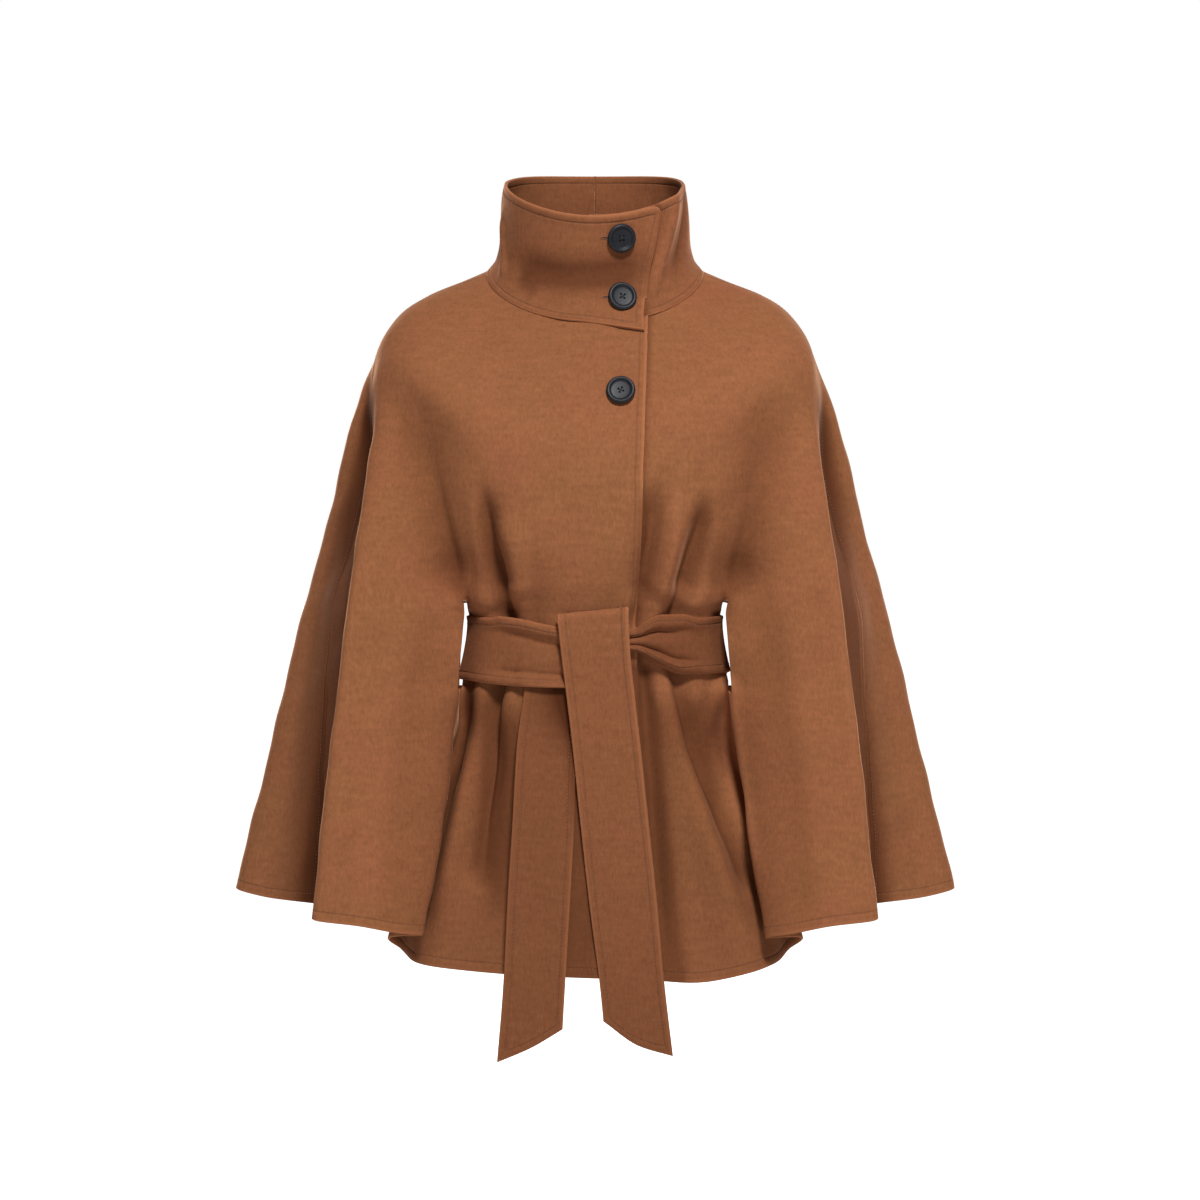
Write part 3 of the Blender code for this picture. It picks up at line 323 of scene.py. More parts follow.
def ease(value, start, end):
    """0 at start, 1 at end, and soft between them."""
    t = np.clip((np.asarray(value, float) - start) / (end - start), 0.0, 1.0)
    return t * t * (3 - 2 * t)


def unit(vectors):
    return vectors / np.maximum(np.linalg.norm(vectors, axis=-1, keepdims=True), 1e-12)


print("ease halfway:", float(ease(0.5, 0, 1)))

# %% The places on a shoulder oval
def placket_x(drop):
    """How far past the centre front the over layer reaches."""
    return PLACKET_TOP + (PLACKET_LOW - PLACKET_TOP) * min(drop / PLACKET_DROP, 1.0)


def oval_places(ring):
    points = []
    for place in PLACES:
        turn = math.radians(place.angle)
        if place.name == "placket_edge":
            turn = math.asin(placket_x(ring.drop) / ring.half)
        reach, z_end = (ring.front, ring.z_front) if place.angle < 90 else (ring.back, ring.z_back)
        share = abs(math.cos(turn)) ** ring.bow
        y = math.copysign(reach * abs(math.cos(turn)) ** ring.square, -math.cos(turn))
        points.append((ring.half * math.sin(turn), y, ring.z_side + (z_end - ring.z_side) * share))
    return points


print(len(oval_places(OVALS[0])), "places across half of the neck")

# %% The places on a hanging row
def on_panel(across, depth, edge):
    """A point of a panel at x = across, on an oval that ends at the panel's side."""
    whole = edge[0] * PANEL_OVAL
    lowest = math.sqrt(1 - PANEL_OVAL ** -2)
    rise = ((math.sqrt(1 - (across / whole) ** 2) - lowest) / (1 - lowest)) ** PANEL_SQUARE
    return np.array((across, math.copysign(abs(edge[1]) + (depth - abs(edge[1])) * rise, edge[1])))


def drape_places(row):
    at = {name: np.array((getattr(row, name + "_x"), getattr(row, name + "_y") * sign))
          for name, sign in (("panel", -1), ("inner", -1), ("ridge", -1), ("seam", -1),
                             ("side", 1), ("rear", 1), ("b_inner", 1), ("b_panel", 1))}
    panel = at["panel"]
    before = on_panel(panel[0] * ON_PANEL["panel_side"], row.front, panel)
    way_in, way_out = unit(panel - before), unit(at["inner"] - panel)
    folded = float(ease(row.drop, FREE_LOW, FREE_LOW + FOLD_STARTS))

    def turned(side):
        """The cloth just before (side < 0) or after the turn at the panel's side."""
        flat_step = (way_in if side < 0 else way_out) * side * FOLD_BEND
        round_step = np.array((way_in[1], -way_in[0])) * FOLD_BEND * side
        return flat_step + (round_step - way_in * FOLD_BEND * BEND_DEPTH - flat_step) * folded

    flat = {"centre_front": np.array((0.0, -row.front)), "panel_side": before,
            "placket_edge": on_panel(placket_x(row.drop), row.front, panel),
            "panel_middle": on_panel(panel[0] * ON_PANEL["panel_middle"], row.front, panel),
            "fold_in": panel + turned(-0.5), "panel_fold": panel, "fold_out": panel + turned(0.5),
            "inner_fold": at["inner"], "ridge": at["ridge"], "side_seam": at["seam"],
            "side": at["side"], "rear_fold": at["rear"], "b_inner": at["b_inner"],
            "b_panel": at["b_panel"], "centre_back": np.array((0.0, row.back)),
            "b_middle": on_panel(at["b_panel"][0] * ON_PANEL["b_middle"], row.back, at["b_panel"])}
    for step in BETWEEN:
        start, end = flat[step.start], flat[step.end]
        flat[step.name] = start + (end - start) * step.share + np.array((step.out_x, step.out_y))
    points = []
    for place in PLACES:
        x, y = flat[place.name]
        reach, z_end = (row.front, row.z_front) if y < 0 else (row.back, row.z_back)
        points.append((x, y, row.z_side + (z_end - row.z_side) * min(abs(y) / reach, 1.0) ** 2))
    return points


KNOTS = [ring.drop for ring in OVALS] + [row.drop for row in DRAPES]
PLAN = np.array([oval_places(ring) for ring in OVALS] + [drape_places(row) for row in DRAPES])
print("plan table:", PLAN.shape)

# %% One row of cloth
LINE_STEP, LINE_PAD, SAMPLES = 0.001, 72, 16
# Over the chest and shoulders the cloth is taut, so its bends are wider there. The share of that
# at each place: full across the panels, none at the wing's ridge and on its side.
TAUT_SOFTNESS, TAUT_FROM, TAUT_TO = 0.024, (0.055, 0.115), (0.290, 0.384)
LOOSE = ("ridge", "ridge_back", "side_seam", "side_front", "side", "side_back")
TAUT_SHARE = {**dict.fromkeys(LOOSE, 0.0), "wing_outer": 0.55, "rear_fold": 0.25, "rear_wing": 0.7}
MIRROR = np.array((-1.0, 1.0, 1.0))


def half_places(drop):
    points = through(KNOTS, PLAN, drop)[0]
    hem = np.array([place.hem for place in PLACES])
    points[:, 2] += (hem - PLAN[-1, :, 2]) * ease(drop, HEM_START, HEM)
    return points


def bell(count, step, spread):
    """Weights of a smooth bell, count steps to each side, that add up to 1."""
    weights = np.exp(-0.5 * (np.arange(-count, count + 1) * step / spread) ** 2)
    return weights / weights.sum()


def blurred(padded, step, spread):
    kernel = bell(LINE_PAD, step, spread)
    return np.stack([np.convolve(padded[:, k], kernel, mode="valid") for k in range(3)], axis=1)


def soft_line(places, first, last, taut=0.0):
    """The cloth between two places, with its folds rounded off. It is mirrored at a centre line
    and free at a slit's edge."""
    part = places[first:last + 1]
    mirrored_start, mirrored_end = first == 0, last == len(places) - 1
    before = part[1] * MIRROR if mirrored_start else 2 * part[0] - part[1]
    after = part[-2] * MIRROR if mirrored_end else 2 * part[-1] - part[-2]
    ends = np.vstack([before, part, after])
    knots = np.concatenate([[0.0], np.cumsum(np.linalg.norm(np.diff(ends, axis=0), axis=1))])
    fine = np.concatenate([np.linspace(a, b, SAMPLES, endpoint=False)
                           for a, b in zip(knots[1:-2], knots[2:-1])] + [[knots[-2]]])
    line = through(knots, ends, fine)
    way = np.concatenate([[0.0], np.cumsum(np.linalg.norm(np.diff(line, axis=0), axis=1))])
    count = int(math.ceil(way[-1] / LINE_STEP))
    even = np.linspace(0.0, way[-1], count + 1)
    even_line = np.stack([np.interp(even, way, line[:, k]) for k in range(3)], axis=1)
    lead, trail = even_line[LINE_PAD:0:-1], even_line[-2:-LINE_PAD - 2:-1]
    lead = lead * MIRROR if mirrored_start else 2 * even_line[0] - lead
    trail = trail * MIRROR if mirrored_end else 2 * even_line[-1] - trail
    padded = np.vstack([lead, even_line, trail])
    soft = blurred(padded, way[-1] / count, SOFTNESS)
    if taut:
        marks = way[np.arange(last - first + 1) * SAMPLES]
        share = np.interp(even, marks, [TAUT_SHARE.get(p.name, 1.0) for p in PLACES[first:last + 1]])
        wider = blurred(padded, way[-1] / count, TAUT_SOFTNESS)
        soft += (wider - soft) * (share * taut)[:, None]
    targets = [0.0]
    for index, place in enumerate(PLACES[first + 1:last + 1], start=1):
        low, high = way[(index - 1) * SAMPLES], way[index * SAMPLES]
        count = place.columns * FINE
        targets += [low + (high - low) * (k + 1) / count for k in range(count)]
    return np.stack([np.interp(targets, even, soft[:, k]) for k in range(3)], axis=1)


print("a folded edge turns over about", round(SOFTNESS * 2000), "mm")

# %% Rows with the slits open
SLIT_EDGES = ("panel_fold", "inner_fold", "b_inner", "b_panel")


def parted_ring(drop):
    """Half a row where the slits are open: the front, the wing and the back are three runs."""
    places = half_places(drop)
    edges = [NAMES.index(name) for name in SLIT_EDGES]
    front = soft_line(places, 0, edges[0])
    wing = soft_line(places, edges[1], edges[2])
    back = soft_line(places, edges[3], len(PLACES) - 1)

    def across_slit(start, end, before, after):
        gap = COLUMN[after] - COLUMN[before]
        return [start + (end - start) * k / gap for k in range(1, gap)]

    return np.vstack([front, *across_slit(front[-1], wing[0], *SLIT_EDGES[:2]), wing,
                      *across_slit(wing[-1], back[0], *SLIT_EDGES[2:]), back])


def half_ring(drop):
    if FREE_TOP <= drop <= FREE_LOW:
        return parted_ring(drop)
    for whole, parted in ((SLIT_TOP, FREE_TOP), (SLIT_LOW, FREE_LOW)):
        share = (drop - whole) / (parted - whole)
        if 0 < share < 1:
            return (soft_line(half_places(whole), 0, len(PLACES) - 1) * (1 - share)
                    + parted_ring(parted) * share)
    taut = float(ease(drop, *TAUT_FROM) * (1 - ease(drop, *TAUT_TO)))
    return soft_line(half_places(drop), 0, len(PLACES) - 1, taut)


def full_ring(drop):
    """One whole row: columns -LAST to LAST, with both ends on the centre back."""
    half = half_ring(drop)
    ring = np.vstack([half[:0:-1] * MIRROR, half])
    x, width, depth = HEM_DIP
    dip = depth * np.exp(-((ring[:, 0] - x) / width) ** 2) * ease(drop, HEM_START, HEM)
    ring[:, 2] += dip * (1 - ease(ring[:, 1], *HEM_DIP_ENDS))
    return ring


print("points in a row:", len(full_ring(0.2)))

# %% Outward directions
def normals_of(grid):
    """Outward directions of a grid of rows down and columns from the right side to the left."""
    return unit(np.cross(np.gradient(grid, axis=0), np.gradient(grid, axis=1)))


def cloth_normals(grid, drops):
    """The same for the whole cloth. Beside an open slit they look along the cloth alone."""
    out = normals_of(grid)
    down = np.gradient(grid, axis=0)
    edges = [COLUMN[name] for name in SLIT_EDGES]
    runs = ((-edges[0], edges[0]), (edges[1], edges[2]), (-edges[2], -edges[1]),
            (edges[3], LAST), (-LAST, -edges[3]))
    for r, drop in enumerate(drops):
        if SLIT_TOP < drop < SLIT_LOW:
            for first, last in runs:
                part = slice(first + LAST, last + LAST + 1)
                out[r, part] = unit(np.cross(down[r, part], np.gradient(grid[r, part], axis=0)))
    out[:, 0] = out[:, -1] = unit(out[:, 0] + out[:, -1])
    return out


ROW_MARKS = (0.0, SLIT_TOP, FREE_TOP, FREE_LOW, SLIT_LOW, HEM)
DROPS = np.concatenate([np.linspace(a, b, int(round((b - a) / ROW_STEP)), endpoint=False)
                        for a, b in zip(ROW_MARKS, ROW_MARKS[1:])] + [[HEM]])
bare_cloth = np.stack([full_ring(drop) for drop in DROPS])
print("bare cloth:", bare_cloth.shape)

# %% Shoulders drawn smooth
# The weight of the wings pulls the cloth smooth where it goes over the shoulders, and down the
# sides almost to the hem.
DRAWN_OVER, DRAWN_ROWS, DRAWN_FROM = 0.022, 16, (0.050, 0.110)
DRAWN_TO, DRAWN_SIDES_TO = (0.240, 0.340), (0.600, 0.690)
STRIPS = np.abs(np.arange(-LAST, LAST + 1))[None, :]


def drawn(grid):
    """The grid with each strip's run down the cloth rounded off over the shoulders."""
    sides = (ease(STRIPS, COLUMN["wing_outer"], COLUMN["ridge"])
             * (1 - ease(STRIPS, COLUMN["rear_fold"], COLUMN["rear_wing"])))
    padded = np.pad(grid, ((DRAWN_ROWS, DRAWN_ROWS), (0, 0), (0, 0)), mode="reflect",
                    reflect_type="odd")
    wide = sum(weight * padded[k:k + len(grid)]
               for k, weight in enumerate(bell(DRAWN_ROWS, ROW_STEP, DRAWN_OVER)))
    drop = DROPS[:, None]
    ends = ease(drop, *DRAWN_TO) * (1 - sides) + ease(drop, *DRAWN_SIDES_TO) * sides
    share = ease(drop, *DRAWN_FROM) * (1 - ends)
    return grid + (wide - grid) * share[..., None]


bare_cloth = drawn(bare_cloth)
bare_out = cloth_normals(bare_cloth, DROPS)
print("shoulders drawn over", DRAWN_OVER, "m")

# %% [markdown]
# ## Folds and creases
# The shoulders and the belt draw long folds into the cloth. The large ones are broad and are the
# same as in the CAD model. On them come the creases: each follows a line of three points, has
# one steep and one easy flank as real gathers do, and fades at both ends. No two are alike, and
# the back has its own set.

# %% Large folds
Fold = namedtuple("Fold", "zone x_start z_start x_end z_end width height")
FOLDS = [Fold(zone, *(size / 1000 for size in sizes)) for zone, *sizes in (
    ("front", -184, -100, -128, -322, 26, -8),
    ("front", 182, -100, 129, -322, 26, -8),
    ("panel", -118, -195, -86, -318, 15, -11),
    ("panel", -90, -225, -74, -318, 14, 6),
    ("panel", 64, -195, 42, -322, 14, -8),
    ("panel", 84, -205, 60, -320, 14, 7),
    ("panel", 116, -205, 86, -318, 15, -11),
    ("panel", -86, -415, -118, -600, 15, -12),
    ("panel", -103, -420, -178, -780, 18, 10),
    ("panel", 62, -415, 175, -760, 20, 12),
    ("panel", 88, -415, 156, -610, 16, -11),
    ("back", -52, -170, -84, -330, 17, -11),
    ("back", 46, -190, 82, -330, 17, -10),
    ("back", -78, -415, -122, -800, 18, -16),
    ("back", -55, -420, -84, -800, 16, 9),
    ("back", -30, -420, -46, -800, 19, -14),
    ("back", 26, -420, 40, -800, 20, -15),
    ("back", 52, -420, 78, -800, 16, 9),
    ("back", 76, -415, 116, -800, 18, -15),
    ("rear", -178, -160, -212, -800, 22, -14),
    ("rear", 182, -180, 206, -800, 22, -13),
)]
FOLD_ENDS, ZONE_FADE = 0.35, 3 * FINE
ZONES = {"front": (0, COLUMN["wing_outer"]), "panel": (0, COLUMN["panel_side"]),
         "back": (COLUMN["b_panel"] + 2 * FINE, LAST),
         "rear": (COLUMN["rear_fold"], COLUMN["b_inner"]),
         "wing": (COLUMN["inner_fold"], COLUMN["ridge"]),
         "ridge": (COLUMN["wing_outer"], COLUMN["side_front"]),
         "crest": (COLUMN["ridge"], COLUMN["ridge"]),
         "valley": (COLUMN["ridge_back"], COLUMN["side_front"]),
         "behind": (COLUMN["b_panel"], LAST)}


def in_zone(name):
    """1 on a zone's strips of cloth, fading to 0 beside them."""
    low, high = ZONES[name]
    inside = ease(STRIPS, low - ZONE_FADE, low) if low else np.ones(STRIPS.shape)
    return inside * (1 - ease(STRIPS, high, high + ZONE_FADE))


def fold_height(grid):
    total = np.zeros(grid.shape[:2])
    for fold in FOLDS:
        start = np.array((fold.x_start, fold.z_start))
        run = np.array((fold.x_end, fold.z_end)) - start
        length = np.linalg.norm(run)
        offset = grid[:, :, (0, 2)] - start
        along = (offset @ run) / length ** 2
        aside = (offset[..., 0] * run[1] - offset[..., 1] * run[0]) / length
        shown = ease(along, 0.0, FOLD_ENDS) * (1 - ease(along, 1 - FOLD_ENDS * 0.5, 1.0))
        total += fold.height * np.exp(-(aside / fold.width) ** 2) * shown * in_zone(fold.zone)
    return total


print(len(FOLDS), "large folds")

# %% Creases on the front
# left and right are the flanks' widths towards -X and +X.
Crease = namedtuple("Crease", "zone z_0 x_0 z_1 x_1 z_2 x_2 left right height fade_in fade_out")


def creases(rows, height_unit=1000):
    """Creases from rows in millimetres. A height may be a share instead, with a unit of 1."""
    return [Crease(zone, *(size / 1000 for size in sizes[:8]), sizes[8] / height_unit,
                   *(size / 1000 for size in sizes[9:])) for zone, *sizes in rows]


CREASES = creases((
    # the long hollows from the shoulders down to the slits
    ("front", -140, -168, -252, -143, -335, -124, 12, 6, -5.6, 140, 60),
    ("front", -150, 166, -252, 146, -335, 124, 6, 12, -5.2, 140, 60),
    # the roll of the fold down each wing, and the hollow close behind it
    ("ridge", -105, -207, -400, -245, -650, -273, 5, 14, 3, 80, 10),
    ("ridge", -105, -219, -400, -258, -650, -286, 8, 6, -16, 100, 10),
    ("ridge", -105, 207, -400, 245, -650, 273, 14, 5, 2.6, 90, 10),
    ("ridge", -105, 219, -400, 258, -650, 286, 6, 8, -14, 120, 10),
    # tucks above the belt, on the wearer's right
    ("panel", -165, -124, -242, -110, -350, -81, 14, 10.5, -8.8, 130, 10),
    ("panel", -215, -108, -290, -93, -350, -78, 7, 3.4, -3.6, 100, 10),
    ("panel", -200, -132, -276, -114, -350, -96, 12, 11, 3.6, 80, 10),
    ("panel", -245, -66, -290, -62, -350, -56, 12, 15, -2.4, 60, 10),
    # and on the wearer's left
    ("panel", -170, 62, -252, 55, -350, 34, 7, 12, -7.5, 120, 10),
    ("panel", -200, 86, -276, 72, -350, 50, 10, 11, 5.2, 90, 10),
    ("panel", -175, 121, -261, 100, -350, 73, 12, 9, -8, 140, 10),
    ("panel", -225, 107, -295, 87, -350, 70, 5, 3.6, -3.4, 110, 10),
    ("panel", -215, 132, -261, 116, -350, 97, 9, 12, 3.4, 70, 10),
    # gathers below the belt, on the wearer's right
    ("panel", -385, -127, -445, -131, -600, -152, 10, 9, -8, 10, 140),
    ("panel", -385, -88, -445, -101, -610, -116, 12, 5, -12, 10, 140),
    ("panel", -395, -112, -494, -121, -650, -151, 10, 9, 6, 70, 100),
    ("panel", -395, -77, -470, -86, -560, -97, 8, 10, 4.8, 60, 100),
    ("panel", -385, -46, -431, -49, -520, -54, 7, 12, -10, 10, 90),
    # and on the wearer's left
    ("panel", -375, 47, -517, 58, -690, 70, 8, 8, -10, 10, 100),
    ("panel", -385, 60, -469, 84, -650, 142, 10, 9, 6, 70, 100),
    ("panel", -375, 75, -469, 96, -600, 150, 5, 13, -9, 10, 140),
    ("panel", -385, 108, -460, 124, -560, 152, 12, 10, -3, 10, 100),
    # slow hollows and swells on the wings
    ("wing", -290, -152, -430, -178, -700, -205, 16, 22, -3.2, 100, 140),
    ("wing", -420, -225, -540, -232, -700, -240, 14, 18, 2.2, 100, 100),
    ("wing", -270, 156, -450, 184, -700, 214, 20, 15, -3.4, 100, 120),
    ("wing", -360, 214, -520, 230, -700, 247, 16, 13, 2, 100, 120),
))
print(len(CREASES), "creases on the front")

# %% Creases on the back
CREASES += creases((
    ("behind", -180, -58, -260, -72, -370, -90, 12, 6, -4.6, 120, 10),
    ("behind", -230, -90, -290, -96, -370, -106, 6, 9, 3.4, 60, 10),
    ("behind", -225, -30, -290, -38, -370, -53, 8, 6, -4.4, 100, 10),
    ("behind", -200, 52, -270, 66, -370, 84, 6, 11, -5, 120, 10),
    ("behind", -240, 24, -290, 34, -370, 48, 7, 8, -3.8, 90, 10),
    ("behind", -235, 90, -290, 97, -370, 104, 8, 6, 3, 60, 10),
    ("behind", -400, -72, -480, -82, -640, -104, 5, 9, -5, 10, 120),
    ("behind", -400, -50, -500, -60, -620, -72, 8, 7, 3, 10, 120),
    ("behind", -400, -16, -470, -20, -570, -24, 7, 9, -4.2, 10, 100),
    ("behind", -400, 36, -490, 44, -640, 58, 9, 5, -5, 10, 140),
    ("behind", -400, 60, -480, 70, -600, 84, 7, 8, 3, 10, 100),
    ("behind", -400, 90, -470, 104, -560, 122, 8, 5, -3.8, 10, 100),
    ("rear", -260, -196, -420, -214, -640, -236, 16, 12, 3, 120, 120),
    ("rear", -300, 198, -450, 212, -640, 228, 12, 16, 2.8, 120, 120),
))


def crease_height(grid, lines):
    total = np.zeros(grid.shape[:2])
    x, z = grid[..., 0], grid[..., 2]
    for crease in lines:
        knots = (-crease.z_0, -crease.z_1, -crease.z_2)
        line = through(knots, (crease.x_0, crease.x_1, crease.x_2), -z.ravel()).reshape(z.shape)
        lean = (crease.x_2 - crease.x_0) / (crease.z_2 - crease.z_0)
        aside = (x - line) / math.sqrt(1 + lean * lean)
        width = np.where(aside < 0, crease.left, crease.right)
        shown = (ease(-z, -crease.z_0, -crease.z_0 + crease.fade_in)
                 * (1 - ease(-z, -crease.z_2 - crease.fade_out, -crease.z_2)))
        total += crease.height * np.exp(-(aside / width) ** 2) * shown * in_zone(crease.zone)
    return total


print(len(CREASES), "creases in all")

# %% Cloth with its folds
# Thick wool is never quite even, so a slow, faint waviness runs through all of it.
SWAY = ((9.0, 5.0, 0.3, 0.0007), (17.0, -11.0, 1.7, 0.0005), (-29.0, 21.0, 4.1, 0.0003))
SWAY_FROM, SWAY_ROUND, SWAY_DOWN = (0.02, 0.10), 0.9, 6.0


def sway_height(grid):
    around, height = np.arctan2(grid[..., 0], -grid[..., 1]), grid[..., 2]
    return sum(size * np.sin(turns * around * SWAY_ROUND + rise * height * SWAY_DOWN + start)
               for turns, rise, start, size in SWAY)


settled = ease(DROPS, *SWAY_FROM)[:, None]
raised = fold_height(bare_cloth) + crease_height(bare_cloth, CREASES)
cloth = bare_cloth + bare_out * (raised + sway_height(bare_cloth) * settled)[..., None]
cloth[:, -1] = cloth[:, 0]
cloth_out = cloth_normals(cloth, DROPS)
print("deepest fold:", round(float(np.linalg.norm(cloth - bare_cloth, axis=-1).max()) * 1000), "mm")

# %% Painted shade and highlights
# Shade is painted into the wool's colour where the cloth sinks into a fold, on the yoke below
# the collar, and on the front panel below the belt, which hangs in the shade of the belt and
# between the wings. A painted highlight lightens the crests of the wings' folds.
PAINTED_SHADE_DEPTH, SHADE_OF_WINGS, SHADE_OF_BELT = 0.0095, 0.38, 0.34
SHADE_BETWEEN, DARKEST, LIGHTEST = 0.20, 1.40, -0.80      # painted shade between panel and wing; the most painted shade, and the most painted highlight
SHADE_OF_COLLAR, COLLAR_SHADE_TO = 0.22, (0.03, 0.14)
BELT_LOW, BELT_SHADE_TO = (0.395, 0.43), (0.43, 0.52)     # how far below the neck, in height
# Lines of painted shade: behind the wings' folds, under the knot and beside the belt's tails.
# Here height is the share of the darkening; below 0 it is a painted highlight, as on the wings'
# crests and on the front panel beside the wearer's left wing.
PAINTED_SHADING_LINES = creases((
    ("valley", -90, -220, -300, -244, -640, -284, 14, 9, 1.1, 50, 10),
    ("crest", -110, -220, -300, -243, -660, -285.5, 8, 8, -0.8, 100, 10),
    ("valley", -90, 220.5, -300, 245, -640, 285, 9, 14, 0.95, 60, 10),
    ("crest", -110, 220, -300, 243, -660, 285.5, 8, 8, -0.8, 100, 10),
    ("ridge", -160, -236, -320, -266, -650, -300, 13, 10, 0.55, 100, 50),
    ("panel", -385, -40, -430, -32, -500, -26, 16, 16, 0.6, 10, 60),
    ("panel", -385, -26, -520, -18, -700, -12, 18, 14, 1.2, 10, 30),
    ("panel", -370, 38.5, -517, 58.5, -700, 77.5, 14, 10.5, 1.4, 10, 20),
    ("front", -385, 131, -480, 140, -600, 160, 17, 8, -1.1, 10, 80),
    ("panel", -215, -110, -285, -99, -345, -85, 8, 4.5, 0.5, 70, 20),
    ("front", -250, -143, -300, -132, -350, -122, 9, 6, 0.4, 60, 10),
    ("front", -250, 143, -300, 132, -350, 122, 6, 9, 0.4, 60, 10),
    ("panel", -385, -124, -480, -134, -620, -156, 14, 9, 0.5, 10, 60),
    ("panel", -420, -80, -510, -87, -650, -96, 13, 11, 0.75, 40, 80),
    ("wing", -345, -130, -470, -140, -680, -165, 24, 12, 0.55, 100, 10),
    ("wing", -345, 130, -470, 140, -680, 165, 12, 30, 0.75, 100, 10),
), height_unit=1)
on_panel_strips = 1 - ease(STRIPS, COLUMN["panel_side"], COLUMN["inner_fold"])
below_belt = ease(-cloth[..., 2], *BELT_LOW)
under_belt = below_belt * (1 - ease(-cloth[..., 2], *BELT_SHADE_TO))
between = (ease(STRIPS, COLUMN["panel_side"], COLUMN["fold_in"])
           * (1 - ease(STRIPS, COLUMN["fold_out"], COLUMN["inner_fold"])) * below_belt)
hollow = 1 - np.exp(np.minimum(raised, 0.0) / PAINTED_SHADE_DEPTH) + crease_height(bare_cloth, PAINTED_SHADING_LINES)
hollow += on_panel_strips * (SHADE_OF_WINGS * below_belt + SHADE_OF_BELT * under_belt)
hollow += SHADE_OF_COLLAR * (1 - ease(DROPS, *COLLAR_SHADE_TO))[:, None]
hollow = np.clip(hollow + SHADE_BETWEEN * between, LIGHTEST, DARKEST)
print("hollow share:", round(float((hollow > 0.3).mean()), 2))

# %% [markdown]
# ## From a grid to a piece of cloth
# Each piece is a thin shell: an outer face, an inner face, and a rolled edge between them all
# round, which catches the light as a real turned edge does. A value kept at each point says how
# far it lies from the sewn edges, so that the material can press the topstitching in, paint
# shade into its groove and paint a highlight on the roll outside it. A second value holds the
# shade and highlight painted at that point.

# %% Edge directions
EDGE_TURNS, SEAM_SQUARE = 3, 0.72      # points round a rolled edge, and how square a seam's is
EDGE_IN = 0.9                          # how far in the roll starts, in half thicknesses


def edge_ways(middle, kept, closed):
    """For each point of a grid, the way out of the cloth, and whether it is on an edge."""
    rows, columns = middle.shape[:2]
    wide = columns if closed else columns - 1
    after = (np.arange(wide) + 1) % columns
    cell_mid = (middle[:-1, :wide] + middle[1:, :wide] + middle[:-1, after] + middle[1:, after]) / 4
    total, count = np.zeros_like(middle), np.zeros(middle.shape[:2])
    for down in (0, 1):
        for over in (0, 1):
            r, c = np.nonzero(kept)
            np.add.at(total, (r + down, (c + over) % columns), cell_mid[r, c])
            np.add.at(count, (r + down, (c + over) % columns), 1.0)
    mean = total / np.maximum(count, 1.0)[..., None]
    return unit(middle - mean), (count > 0) & (count < 4)


def rim_edges(kept, number, closed):
    """The cloth's edges: each has a start and an end, as its cell's outer face goes round."""
    (high, wide), columns = kept.shape, number.shape[1]
    padded = np.zeros((high + 2, wide + 2), bool)
    padded[1:-1, 1:-1] = kept
    if closed:
        padded[1:-1, 0], padded[1:-1, -1] = kept[:, -1], kept[:, 0]
    starts, ends = [], []
    for shift, start, end in (((0, 1), (0, 1), (0, 0)), ((2, 1), (1, 0), (1, 1)),
                              ((1, 0), (0, 0), (1, 0)), ((1, 2), (1, 1), (0, 1))):
        beside = padded[shift[0]:shift[0] + high, shift[1]:shift[1] + wide]
        r, c = np.nonzero(kept & ~beside)
        starts.append(number[r + start[0], (c + start[1]) % columns])
        ends.append(number[r + end[0], (c + end[1]) % columns])
    return np.concatenate(starts), np.concatenate(ends)


print("a rolled edge has", EDGE_TURNS, "points between its faces")

